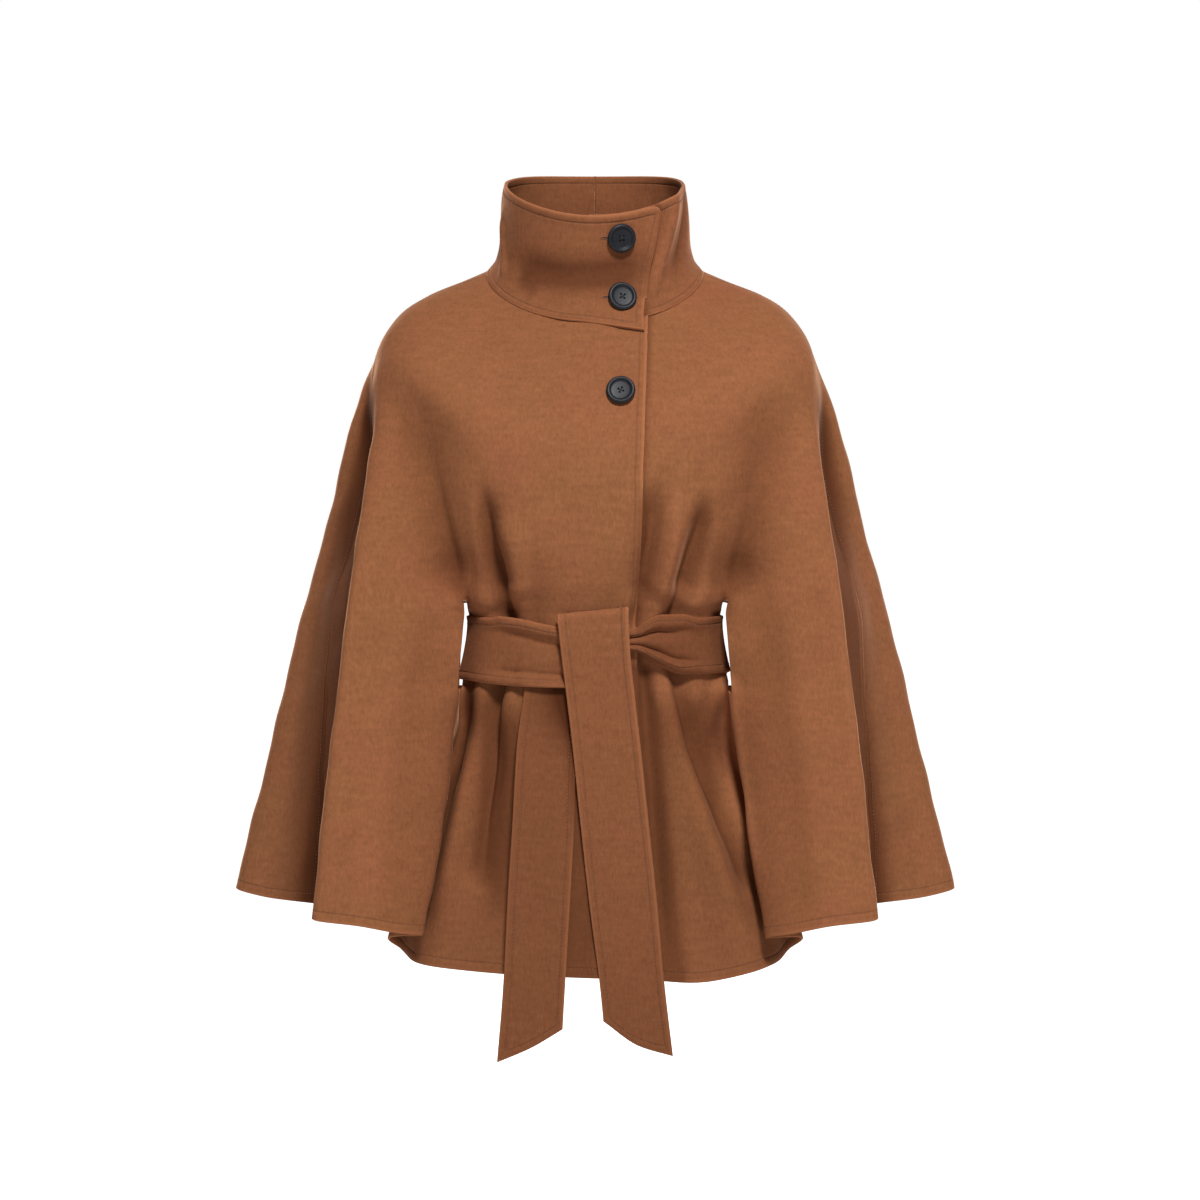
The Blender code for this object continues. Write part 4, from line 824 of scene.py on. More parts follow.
# %% The shell builder
def shell(name, middle, out, thick, finish, holes=(), closed=False, border=None, hollow=None,
          inside=None, seams=()):
    """A closed shell of cloth round a grid. holes lists cells (row, column) cut away. Along
    seams, a list of (axis, index), the edge is pressed flat by its neighbour and turns sharply."""
    rows, columns = middle.shape[:2]
    wide = columns if closed else columns - 1
    kept = np.ones((rows - 1, wide), bool)
    for r, c in holes:
        kept[r, c] = False
    way, on_edge = edge_ways(middle, kept, closed)
    half = thick / 2
    way = unit(way - out * np.sum(way * out, axis=-1, keepdims=True))
    base = middle - way * (half * EDGE_IN) * on_edge[..., None]
    points, facing = [base + out * half, base - out * half], [out, -out]
    number = np.arange(rows * columns).reshape(rows, columns)
    size = rows * columns
    r, c = np.nonzero(kept)
    after = (c + 1) % columns
    a, b, d, e = number[r, c], number[r + 1, c], number[r + 1, after], number[r, after]
    faces = [np.stack([a, b, d, e], axis=1), np.stack([e, d, b, a], axis=1) + size]
    border = np.ones((rows, columns)) if border is None else border
    # The shade and highlight painted on the outer face and, unless given apart, on the inner one.
    hollow = np.zeros((rows, columns)) if hollow is None else hollow
    values = [border.ravel(), border.ravel()]
    shading_values = [hollow.ravel(), (hollow if inside is None else inside).ravel()]
    starts, ends = rim_edges(kept, number, closed)
    rim = np.unique(starts)
    place = {int(v): k for k, v in enumerate(rim)}
    flat_base, flat_out, flat_way = (g.reshape(-1, 3)[rim] for g in (base, out, way))
    pressed = np.zeros((rows, columns))
    for axis, index in seams:
        pressed[(index, slice(None)) if axis == 0 else (slice(None), index)] = 1.0
    power = (1.0 - SEAM_SQUARE * pressed.ravel()[rim])[:, None]
    rings = [rim]
    for k in range(EDGE_TURNS):
        turn = math.pi * (k + 1) / (EDGE_TURNS + 1)
        side = 0.0 if 2 * (k + 1) == EDGE_TURNS + 1 else math.copysign(1.0, math.cos(turn))
        up, over = abs(math.cos(turn)), math.sin(turn)
        points.append(flat_base + flat_out * half * side * up ** power
                      + flat_way * half * over ** power)
        facing.append(unit(flat_out * side * up ** (2 - power) + flat_way * over ** (2 - power)))
        rings.append(2 * size + k * len(rim) + np.arange(len(rim)))
        values.append(np.zeros(len(rim)))
        shading_values.append(hollow.ravel()[rim])
    rings.append(rim + size)
    s, t = (np.array([place[int(v)] for v in group]) for group in (starts, ends))
    for upper, lower in zip(rings, rings[1:]):
        faces.append(np.stack([upper[t], upper[s], lower[s], lower[t]], axis=1))
    points, facing = (np.concatenate([p.reshape(-1, 3) for p in group]) for group in (points, facing))
    return cloth_object(name, points, facing, np.concatenate(faces), finish,
                        {"border": np.concatenate(values), "hollow": np.concatenate(shading_values)})


def cloth_object(name, points, facing, faces, finish, masks):
    """A mesh of the points that its faces use. facing is the way each point of the cloth looks."""
    used, faces = np.unique(faces, return_inverse=True)
    mesh = bpy.data.meshes.new(name)
    mesh.from_pydata(points[used].tolist(), [], faces.reshape(-1, 4).tolist())
    for label, values in masks.items():
        mesh.attributes.new(label, "FLOAT", "POINT").data.foreach_set("value", values[used])
    mesh.materials.append(finish)
    mesh.shade_smooth()
    mesh.normals_split_custom_set_from_vertices(facing[used].tolist())
    print(name, len(mesh.polygons) * 2, "triangles")
    return placed(name, mesh)


# %% How far a point lies from an edge
def way_along(grid, axis, backwards):
    """Length along the cloth from a grid's first row or column, or from its last."""
    turned = np.flip(grid, axis) if backwards else grid
    steps = np.linalg.norm(np.diff(turned, axis=axis), axis=-1)
    start = np.zeros_like(np.take(steps, [0], axis=axis))
    way = np.concatenate([start, np.cumsum(steps, axis=axis)], axis=axis)
    return np.flip(way, axis) if backwards else way


def line_at(grid, way, axis, distance):
    """The line of points that lie at one distance from the edge that way counts from."""
    if axis == 0:
        grid, way = np.swapaxes(grid, 0, 1), way.T
    line = []
    for points, length in zip(grid, way):
        order = np.argsort(length)
        line.append([np.interp(distance, length[order], points[order, k]) for k in range(3)])
    return np.array(line)


print("edge helpers ready")

# %% [markdown]
# ## Materials
# Brushed coating wool has a short nap that lies mostly downwards. From a little way off it shows
# as a dry surface with a fine mottle: warmer and cooler fibres lie side by side, and the nap
# gives a soft lighter sheen where the cloth turns away. Where a row of stitches pulls the cloth
# in, shade is painted into the groove, and the roll outside it is painted lighter: partly worn,
# brushed wool and partly a painted highlight. These effects are node groups, so that body,
# collar and belt share them, each with its own colours. A mask kept on the cloth also paints
# shade into its hollows and a highlight on sharp crests.

# %% Node group helper
FLOAT, COLOUR, VECTOR = "NodeSocketFloat", "NodeSocketColor", "NodeSocketVector"


def start_group(name, inputs, outputs, kind="ShaderNodeTree"):
    """An empty node group with named sockets. inputs and outputs map names to types."""
    group = bpy.data.node_groups.new(name, kind)
    for way, sockets in (("INPUT", inputs), ("OUTPUT", outputs)):
        for label, socket_kind in sockets.items():
            group.interface.new_socket(label, in_out=way, socket_type=socket_kind)
    return group, group.nodes.new("NodeGroupInput"), group.nodes.new("NodeGroupOutput")


print("groups can start")

# %% Wool mottle group
PATCHES, PATCHY, GRAIN_REST = 11.0, 2.6, 0.39
MottleNoise = namedtuple("MottleNoise", "stretch scale detail rough weight")
GRAIN = (
    MottleNoise((1.0, 1.0, 0.28), 620.0, 2.0, 0.55, 0.44),      # fibres
    MottleNoise((0.35, 0.35, 1.5), 150.0, 2.0, 0.55, 0.32),     # streaks
    MottleNoise((1.0, 1.0, 0.6), 260.0, 3.0, 0.65, 0.46),       # flecks
)
mottle, mottle_in, mottle_out = start_group(
    "wool_mottle", {"Vector": VECTOR, "Wool": COLOUR, "Warm fibre": COLOUR, "Cool fibre": COLOUR,
                    "Amount": FLOAT}, {"Color": COLOUR})
tone = mottle_in.outputs["Wool"]
cloud = noise_of(mottle, mottle_in.outputs["Vector"], PATCHES, 3.0)
patchy = math_node(mottle, "MULTIPLY", mottle_in.outputs["Amount"], PATCHY)
for fibre, more, less in (("Warm fibre", cloud, 0.38), ("Cool fibre", 0.62, cloud)):
    patch = math_node(mottle, "MULTIPLY", math_node(mottle, "SUBTRACT", more, less, True), patchy)
    tone = mixed(mottle, patch, tone, mottle_in.outputs[fibre])
grain = GRAIN_REST
for layer in GRAIN:
    noise = noise_of(mottle, stretched(mottle, mottle_in.outputs["Vector"], layer.stretch),
                     layer.scale, layer.detail, layer.rough)
    grain = math_node(mottle, "ADD", math_node(mottle, "MULTIPLY", noise, layer.weight), grain)
bright = add_node(mottle, "ShaderNodeVectorMath", {0: tone, "Scale": grain}, operation="SCALE")
feed(mottle_out, {"Color": bright.outputs[0]})
print("wool_mottle:", len(mottle.nodes), "nodes")

# %% Sewn border group
# The border value is 0 on an edge and 1 on its row of topstitching.
GROOVE_WIDE, ROLL_WIDE, GROOVE_DEEP, WELT_HIGH = 0.19, 0.50, 0.5, 0.7
sewn, sewn_in, sewn_out = start_group(
    "sewn_border", {"Border": FLOAT}, {"Height": FLOAT, "Groove": FLOAT, "Roll": FLOAT})
way_in = sewn_in.outputs["Border"]
from_row = math_node(sewn, "ABSOLUTE", math_node(sewn, "SUBTRACT", way_in, 1.0))
groove = ranged(sewn, from_row, 1.0, 0.0, "SMOOTHERSTEP", GROOVE_WIDE)
roll = ranged(sewn, way_in, 1.0, 0.0, "SMOOTHSTEP", ROLL_WIDE)
welt = math_node(sewn, "MULTIPLY", math_node(sewn, "MULTIPLY", way_in, 4.0),
                 math_node(sewn, "SUBTRACT", 1.0, way_in), True)
sunk_in = math_node(sewn, "MULTIPLY", math_node(sewn, "SUBTRACT", 1.0, groove), GROOVE_DEEP)
height = math_node(sewn, "ADD", sunk_in, math_node(sewn, "MULTIPLY", welt, WELT_HIGH))
feed(sewn_out, {"Height": height, "Groove": groove, "Roll": roll})
print("sewn_border:", len(sewn.nodes), "nodes")

# %% Wool nap group
FELT_SHARE, LIE_SHARE = 0.65, 0.35
nap, nap_in, nap_out = start_group("wool_nap", {"Vector": VECTOR}, {"Height": FLOAT})
felt, lie = (noise_of(nap, stretched(nap, nap_in.outputs["Vector"], stretch), *noise)
             for stretch, noise in (((1.0, 1.0, 0.5), (420.0, 3.0, 0.6)),
                                    ((1.0, 1.0, 0.18), (1300.0, 1.0))))
feed(nap_out, {"Height": math_node(nap, "ADD", math_node(nap, "MULTIPLY", felt, FELT_SHARE),
                                   math_node(nap, "MULTIPLY", lie, LIE_SHARE))})
print("wool_nap:", len(nap.nodes), "nodes")

# %% The wool itself
PAINTED_SHADE_SHARE, PAINTED_SHADE_TINT = 0.66, (0.30, 0.23, 0.19)     # how much painted shade darkens the deepest hollows, and to what
PAINTED_CREST_HIGHLIGHT = 0.90                                # how much a painted highlight lightens a sharp crest
MOTTLE, SHEEN, SHEEN_TINT = 0.36, 0.52, (1.0, 0.54, 0.31, 1.0)


def tint(colour, factor):
    return tuple(min(channel * factor, 1.0) for channel in colour) + (1.0,)


def wool(name, colour, warm, cool):
    """Brushed wool: base, warmer and cooler fibres, the sheen of its nap, and painted shade and
    highlights.
    """
    made, tree, shader = new_finish(name)
    where = object_place(tree)
    # The first mask is the way to a sewn edge; the second holds painted shade, and below 0 a painted
    # highlight.
    edge, painted_shading_mask = (add_node(tree, "ShaderNodeAttribute", attribute_name=mask).outputs["Fac"]
                  for mask in ("border", "hollow"))
    colours = add_node(tree, "ShaderNodeGroup",
                       {"Vector": where, "Wool": tint(colour, 1.0), "Warm fibre": tint(warm, 1.0),
                        "Cool fibre": tint(cool, 1.0), "Amount": MOTTLE}, node_tree=mottle)
    border = add_node(tree, "ShaderNodeGroup", {"Border": edge}, node_tree=sewn)
    fuzz = add_node(tree, "ShaderNodeGroup", {"Vector": where}, node_tree=nap)
    painted_shade_colour = tuple(channel * share for channel, share in zip(colour, PAINTED_SHADE_TINT)) + (1.0,)
    shaded = colours.outputs["Color"]
    # painted shade in stitch grooves, rolled edges painted lighter (worn wool and a painted
    # highlight), a painted highlight on crests, painted shade in hollows: where, how much, clamped
    # or not, and towards what
    for mask, share, clamp, towards in (
            (border.outputs["Groove"], 0.11, False, tint(colour, 0.40)),
            (border.outputs["Roll"], 0.70, False, tint(colour, 1.48)),
            (painted_shading_mask, -PAINTED_CREST_HIGHLIGHT, True, tint(colour, 1.50)), (painted_shading_mask, PAINTED_SHADE_SHARE, False, painted_shade_colour)):
        shaded = mixed(tree, math_node(tree, "MULTIPLY", mask, share, clamp), shaded, towards)
    press = add_node(tree, "ShaderNodeBump",
                     {"Strength": 0.6, "Distance": 0.0016, "Height": border.outputs["Height"]})
    brushed = add_node(tree, "ShaderNodeBump",
                       {"Strength": 0.32, "Distance": 0.0006, "Height": fuzz.outputs["Height"],
                        "Normal": press.outputs["Normal"]})
    # The sheen fades where shade is painted.
    unshaded_share = math_node(tree, "SUBTRACT", 1.0, painted_shading_mask, True)
    feed(shader, {"Base Color": shaded, "Roughness": 0.93, "Specular IOR Level": 0.10,
                  "Normal": brushed.outputs["Normal"],
                  "Sheen Weight": math_node(tree, "MULTIPLY", unshaded_share, SHEEN),
                  "Sheen Roughness": 0.30, "Sheen Tint": SHEEN_TINT})
    return made


CAMEL, CAMEL_WARM, CAMEL_COOL = (0.345, 0.129, 0.055), (0.360, 0.120, 0.058), (0.318, 0.136, 0.053)
COLLAR_CAMEL = (0.300, 0.109, 0.047)
BELT_CAMEL = (0.338, 0.124, 0.054)
body_wool = wool("camel_wool", CAMEL, CAMEL_WARM, CAMEL_COOL)
collar_wool = wool("camel_wool_collar", COLLAR_CAMEL, (0.314, 0.104, 0.050), (0.280, 0.113, 0.045))
belt_wool = wool("camel_wool_belt", BELT_CAMEL, (0.352, 0.118, 0.057), (0.317, 0.129, 0.051))
print("three wools")

# %% [markdown]
# ## Fronts and back
# The right front lies over the left one, so each moves half a layer off the common surface where
# they overlap. The back is one piece. The side seams run from the neck, over the shoulder, to the
# hem. Front edges, hems and side seams are topstitched; the neck edge goes into the collar.

# %% Layers of the closure
OVERLAP_FADE, UNDER_CLEAR = 0.030, 0.006
EDGE_ROW, HEM_ROW, SEAM_ROW = 0.0080, 0.0090, 0.0060     # topstitching, from each edge


def overlap_lift(x, sign):
    half_step = (CLOTH + LAYER_GAP) / 2
    if sign > 0:
        return half_step * ease(x, -OVERLAP_FADE, 0.0)
    edge = PLACKET_TOP + UNDER_CLEAR
    return -half_step * (1 - ease(x, edge, edge + OVERLAP_FADE))


def narrowed(grid, first=True, last=True, by=SEAM_GAP / 2):
    """The grid with its first or last column moved inwards by half a seam gap."""
    result = grid.copy()
    if first:
        result[:, 0] += unit(grid[:, 1] - grid[:, 0]) * by
    if last:
        result[:, -1] += unit(grid[:, -2] - grid[:, -1]) * by
    return result


def border_of(grid, rows_from):
    """Smallest share of the way from a sewn edge to its topstitching."""
    shares = [way_along(grid, axis, backwards) / distance
              for axis, backwards, distance in rows_from]
    return np.minimum.reduce(shares)


print("overlap at the neck reaches", PLACKET_TOP, "m past the centre")

# %% Sizes of a piece
def flat_sizes(grid, holes=()):
    """Widest row, longest column and area of a piece of cloth laid flat."""
    across = np.linalg.norm(np.diff(grid, axis=1), axis=-1).sum(axis=1).max()
    down = np.linalg.norm(np.diff(grid, axis=0), axis=-1).sum(axis=0).max()
    one, two = grid[1:, 1:] - grid[:-1, :-1], grid[1:, :-1] - grid[:-1, 1:]
    cells = np.linalg.norm(np.cross(one, two), axis=-1) / 2
    for r, c in holes:
        cells[r, c] = 0.0
    return float(across), float(down), float(cells.sum())


SLIT_ROWS = [r for r in range(len(DROPS) - 1)
             if SLIT_TOP - 1e-6 <= DROPS[r] and DROPS[r + 1] <= SLIT_LOW + 1e-6]
pieces, surfaces, cuts = {}, {}, {}


def keep_piece(name, middle, out, thick, finish, **more):
    pieces[name] = shell(name, middle, out, thick, finish, **more)
    surfaces[name] = (middle + out * thick / 2, out)
    cuts[name] = flat_sizes(middle, more.get("holes", ())) if not more.get("closed") else None


print(len(SLIT_ROWS), "rows of cloth beside each slit")

# %% The two fronts
SEAM, FOLD_AT, INNER_AT = COLUMN["side_seam"], COLUMN["panel_fold"], COLUMN["inner_fold"]
OVER_AT = COLUMN["placket_edge"]
EDGE_SHADE, EDGE_SHADE_WIDE = 0.70, 0.0042       # painted shadow beside the over front's edge


def front_cloth(name, first, last, lift, slit, beside=None):
    """A front. beside is the x of the edge that lies over it, for each row; that edge's shadow is
    painted beside it.
    """
    part = slice(first + LAST, last + LAST + 1)
    middle, out = cloth[:, part], cloth_out[:, part]
    middle = middle + out * overlap_lift(middle[..., 0], lift)[..., None]
    middle = narrowed(middle, abs(first) == SEAM, abs(last) == SEAM)
    holes = [(r, c - first) for r in SLIT_ROWS for c in range(*slit)]
    free_last = abs(last) != SEAM
    border = border_of(middle, ((0, True, HEM_ROW), (1, free_last, EDGE_ROW)))
    seams = [(0, 0), (1, 0 if abs(first) == SEAM else -1)]
    shade = hollow[:, part].copy()
    # a painted shadow of the over front's edge
    if beside is not None:
        shade += EDGE_SHADE * np.exp(-((middle[..., 0] - beside[:, None]) / EDGE_SHADE_WIDE) ** 2)
    keep_piece(name, middle, out, CLOTH, body_wool, holes=holes, border=border,
               hollow=np.clip(shade, LIGHTEST, 1.0), seams=seams)
    return middle


over_middle = front_cloth("right_front_cloth", -SEAM, OVER_AT, 1, (-INNER_AT, -FOLD_AT))
front_cloth("left_front_cloth", 0, SEAM, -1, (FOLD_AT, INNER_AT), beside=over_middle[:, -1, 0])
print("right front", [round(v, 3) for v in cuts["right_front_cloth"]])
print("left front", [round(v, 3) for v in cuts["left_front_cloth"]])

# %% The back
order = list(range(SEAM, LAST)) + list(range(-LAST, -SEAM + 1))
back_part = [c + LAST for c in order]
back_middle, back_out = narrowed(cloth[:, back_part]), cloth_out[:, back_part]
CENTRE = LAST - SEAM
back_holes = []
for side in (1, -1):
    low, high = sorted(CENTRE + side * (LAST - COLUMN[name]) for name in ("b_inner", "b_panel"))
    back_holes += [(r, c) for r in SLIT_ROWS for c in range(low, high)]
back_border = border_of(back_middle, ((0, True, HEM_ROW), (1, False, SEAM_ROW), (1, True, SEAM_ROW)))
keep_piece("back_cloth", back_middle, back_out, CLOTH, body_wool, holes=back_holes,
           border=back_border, hollow=hollow[:, back_part], seams=((0, 0), (1, 0), (1, -1)))
print("back", [round(v, 3) for v in cuts["back_cloth"]])

# %% [markdown]
# ## Collar
# A funnel collar is cut in two halves of doubled cloth, joined at the centre back, and stands up
# from the neck seam. It narrows above the shoulders and flares a little to the rim. Worn, it
# buckles slightly: long diagonal creases run down from the rim beside the closure.

# %% Collar sizes
CollarRing = namedtuple("CollarRing", "rise half front back")
COLLAR = [CollarRing(*row) for row in (
    (0.00, 0.1070, 0.0895, 0.0700), (0.15, 0.0970, 0.0850, 0.0680),
    (0.35, 0.0930, 0.0805, 0.0670), (0.60, 0.0920, 0.0790, 0.0680),
    (0.82, 0.0905, 0.0810, 0.0710), (1.00, 0.0880, 0.0845, 0.0750),
)]
COLLAR_LIFT = 0.0006
RIM_FRONT, RIM_SIDE, RIM_BACK = 0.0580, 0.0905, 0.1010
OVER_EDGE_LOW, OVER_EDGE_TOP, UNDER_EDGE = 26.5, 44.0, -4.0
OVER_LIFTS, UNDER_SINKS_END, UNDER_SINKS = -40.0, 48.0, 85.0
COLLAR_ROWS, COLLAR_STEP = 60, 1.0
CORNER = 7.5              # degrees over which the over layer's top corner is rounded
CORNER_DROP = 0.0080
OVER_STANDS, OVER_SPREAD = 0.0024, 14.0    # the over layer's edge stands off by this much
COLLAR_PAINTED_SHADE_DEPTH = 0.0040
SAG, SAG_FROM, SAG_BOW, SAG_UP, SAG_HUGS = 0.0140, -8.0, 1.6, 0.45, 2.0
SAG_ROWS, SAG_X = 14, -0.030                     # the over half's front corner hangs lower
BESIDE_OVER, BESIDE_OVER_WIDE = 0.85, 4.0         # painted shadow beside the over edge, and its width in degrees
INSIDE_SHADE = (0.32, 0.60, 0.35)                # shade painted in the collar: all over, at its sides, down it
RIM_ROW, CLOSE_ROW, NECK_ROW = 0.0080, 0.0080, 0.0060


def rim_height(turn):
    even, mean = (RIM_FRONT - RIM_BACK) / 2, (RIM_FRONT + RIM_BACK) / 2
    return (mean + RIM_SIDE) / 2 + even * math.cos(turn) + (mean - RIM_SIDE) / 2 * math.cos(2 * turn)


def seam_height(turn):
    ring = OVALS[0]
    end = ring.z_front if math.cos(turn) > 0 else ring.z_back
    return ring.z_side + (end - ring.z_side) * abs(math.cos(turn)) ** ring.bow


def collar_point(rise, degrees, rim_drop=0.0):
    turn = math.radians(degrees)
    half, front, back = through([r.rise for r in COLLAR], [r[1:] for r in COLLAR], rise)[0]
    reach = front if math.cos(turn) > 0 else back
    foot = seam_height(turn) + COLLAR_LIFT
    return (half * math.sin(turn), -reach * math.cos(turn),
            foot + (rim_height(turn) - rim_drop - foot) * rise)


print("collar stands", round(rim_height(0.0) - seam_height(0.0), 3), "m high in front")

# %% Collar creases
# Each runs from a low point to a high one, as degrees round the neck and share of the height.
CollarCrease = namedtuple("CollarCrease", "turn_0 rise_0 turn_1 rise_1 width height")
COLLAR_CREASES = [CollarCrease(*row) for row in (
    (33.0, 0.10, 68.0, 1.05, 4.5, 0.0034),
    (57.0, 0.25, 84.0, 1.00, 6.0, -0.0030),
    (-68.0, 0.08, -78.0, 0.75, 4.0, 0.0034),
    (-54.0, 0.24, -38.0, 0.12, 7.0, -0.0020),
    (-54.0, 0.37, 34.0, 0.48, 9.0, -0.0054),
    (-118.0, 0.10, -98.0, 1.00, 8.0, 0.0020),
    (-150.0, 0.35, -122.0, 0.75, 9.0, -0.0022),
    (112.0, 0.05, 96.0, 0.95, 7.0, -0.0022),
    (136.0, 0.20, 124.0, 1.00, 9.0, 0.0018),
    (166.0, 0.45, 142.0, 0.60, 8.0, -0.0018),
)]
RISE_DEGREES = 55.0       # one whole height of the collar, as degrees round the neck


def collar_fold(rise, degrees):
    total = 0.0
    for crease in COLLAR_CREASES:
        start = np.array((crease.turn_0, crease.rise_0 * RISE_DEGREES))
        run = np.array((crease.turn_1, crease.rise_1 * RISE_DEGREES)) - start
        length = float(np.linalg.norm(run))
        offset = np.array((degrees, rise * RISE_DEGREES)) - start
        along = float(offset @ run) / length ** 2
        aside = float(offset[0] * run[1] - offset[1] * run[0]) / length
        shown = float(ease(along, -0.15, 0.25) * (1 - ease(along, 0.75, 1.15)))
        total += crease.height * math.exp(-(aside / crease.width) ** 2) * shown
    return total * float(ease(rise, 0.0, 0.2))


print(len(COLLAR_CREASES), "collar creases")

# %% The collar's low front corner
over_yoke = (over_middle[:SAG_ROWS] + normals_of(over_middle[:SAG_ROWS])
             * (CLOTH / 2 + LAYER_GAP)).reshape(-1, 3)
over_yoke = over_yoke[over_yoke[:, 0] > SAG_X]


def curved(x, z):
    """The terms of a smooth surface over x and z."""
    return np.stack([x ** a * z ** b for a in range(4) for b in range(4 - a)], axis=-1)


yoke_terms = np.linalg.lstsq(curved(over_yoke[:, 0], over_yoke[:, 2]), over_yoke[:, 1], rcond=None)[0]


def sagged(point, rise, degrees):
    """A point of the over half, moved down over the front where the corner hangs lower."""
    along = max(degrees - SAG_FROM, 0.0) / (OVER_EDGE_LOW - SAG_FROM)
    share = min(along ** SAG_BOW * (1 - float(ease(rise, 0.0, SAG_UP))), 1.2)
    x, y, z = point[0], point[1], point[2] - SAG * share
    on_yoke = float(curved(np.array(x), np.array(z)) @ yoke_terms)
    return x, y + (min(on_yoke, y) - y) * min(1.0, share * SAG_HUGS), z


print("the collar's corner hangs", SAG, "m lower")

# %% Collar halves
def collar_half(name, start, low_end, top_end, lift):
    """Half of the collar, from the centre back (start) to its front edge."""
    steps = int(round(abs(low_end - start) / COLLAR_STEP))
    half_step = (COLLAR_CLOTH + LAYER_GAP) / 2
    grid, layer, painted_shading_mask, inner = [], [], [], []
    for rise in np.linspace(1.0, 0.0, COLLAR_ROWS + 1):
        end = low_end + (top_end - low_end) * rise
        over = OVER_EDGE_LOW + (OVER_EDGE_TOP - OVER_EDGE_LOW) * rise
        angles = [start + (end - start) * k / steps for k in range(-1, steps + 1)]
        row, lifts, folds, shades, insides = [], [], [], [], []
        for a in angles:
            near = max(0.0, 1 - abs(end - a) / CORNER) if lift > 0 else 0.0
            point = collar_point(rise, a, CORNER_DROP * (1 - math.sqrt(1 - near * near)))
            row.append(sagged(point, rise, a) if lift > 0 else point)
            raised = (float(ease(a, OVER_LIFTS, UNDER_EDGE)) if lift > 0
                      else -1 + float(ease(a, UNDER_SINKS_END, UNDER_SINKS)))
            turned = (a + 180.0) % 360.0 - 180.0
            folds.append(collar_fold(rise, turned))
            beside = math.exp(-((a - over) / BESIDE_OVER_WIDE) ** 2) if lift < 0 else 0.0
            shades.append(BESIDE_OVER * beside)
            insides.append(INSIDE_SHADE[0] + INSIDE_SHADE[1] * abs(math.sin(math.radians(a))) ** 3
                           + INSIDE_SHADE[2] * (1 - rise))
            stands = OVER_STANDS * float(ease(a, end - OVER_SPREAD, end)) if lift > 0 else 0.0
            stands *= float(ease(rise, 0.0, SAG_UP))
            lifts.append(half_step * raised + folds[-1] + stands)
        grid.append(row)
        layer.append(lifts)
        # shade painted in the creases and beside the over edge, and inside the collar
        painted_shading_mask.append([max(-fold, 0.0) / COLLAR_PAINTED_SHADE_DEPTH + shade for fold, shade in zip(folds, shades)])
        inner.append(insides)
    grid, layer, painted_shading_mask, inner = (np.array(part) for part in (grid, layer, painted_shading_mask, inner))
    forward = start < low_end
    if not forward:
        grid, layer, painted_shading_mask, inner = (part[:, ::-1] for part in (grid, layer, painted_shading_mask, inner))
    moved = grid + normals_of(grid) * layer[..., None]
    kept = slice(1, None) if forward else slice(None, -1)
    out = normals_of(moved)[:, kept]
    middle = narrowed(moved[:, kept], forward, not forward)
    rows_from = [(0, False, RIM_ROW), (0, True, NECK_ROW)]
    if lift > 0:
        rows_from.append((1, True, CLOSE_ROW))
    keep_piece(name, middle, out, COLLAR_CLOTH, collar_wool, border=border_of(middle, rows_from),
               hollow=np.clip(painted_shading_mask[:, kept], 0.0, 1.0), inside=np.clip(inner[:, kept], 0.0, 1.0),
               seams=((0, -1), (1, 0 if forward else -1)))


collar_half("collar_right_cloth", -180.0, OVER_EDGE_LOW, OVER_EDGE_TOP, 1)
collar_half("collar_left_cloth", 180.0, UNDER_EDGE, UNDER_EDGE, -1)
print("collar halves", [round(v, 3) for v in cuts["collar_right_cloth"]],
      [round(v, 3) for v in cuts["collar_left_cloth"]])

# %% [markdown]
# ## Belt
# The belt is one long strip of doubled cloth. Three stretches of it show. The band goes round
# the waist: over the front panel, out through the front slits, bare under the wings, and over
# the back panel. It is pinched at the knot, and the pinch sends ridges out over the band. One
# tail comes up behind the band, turns over its top and hangs down in front as the knot's face.
# The other drops from under it.

# %% Band sizes
BandEdge = namedtuple("BandEdge", "x top low")
BAND = [BandEdge(*row) for row in (
    (-0.125, -0.3296, -0.3965), (-0.080, -0.3330, -0.3990),
    (-0.036, -0.3405, -0.4010), (0.010, -0.3440, -0.3900),
    (0.036, -0.3430, -0.3640), (0.060, -0.3305, -0.3765),
    (0.085, -0.3255, -0.3875), (0.125, -0.3270, -0.3895),
)]
BAND_BACK = BandEdge(0.0, -0.3400, -0.4060)
BAND_ROWS, BAND_CLOTH_ROWS, BAND_SIDE_COLUMNS = 27, 17, 48
BAND_HALF_TOP, BAND_HALF_LOW, BAND_HALF_BOW = 0.1205, 0.1320, 1.7
BAND_CLEAR, BAND_CLEAR_FROM, BAND_CLEAR_TO = 0.0040, 0.085, 0.102
BAND_TURN_FRONT, BAND_TURN_BACK = -0.055, 0.060
OVERLAP_STARTS, OVERLAP_END_IN, OVERLAP_END_OUT = (-0.036, -0.006), 0.050, 0.085
BELT_ROW = 0.0075         # topstitching, from each edge of the belt
# shade painted over the whole band, the pleat depth that is painted fully shaded, and how deep a pleat
# may sink
BAND_SHADE, PLEAT_SHADED, PLEAT_DEEPEST = 0.34, 0.0026, -0.0012
LEFT_SHADE, LEFT_FROM = 0.36, (0.03, 0.05)       # further shade painted on the band left of the knot
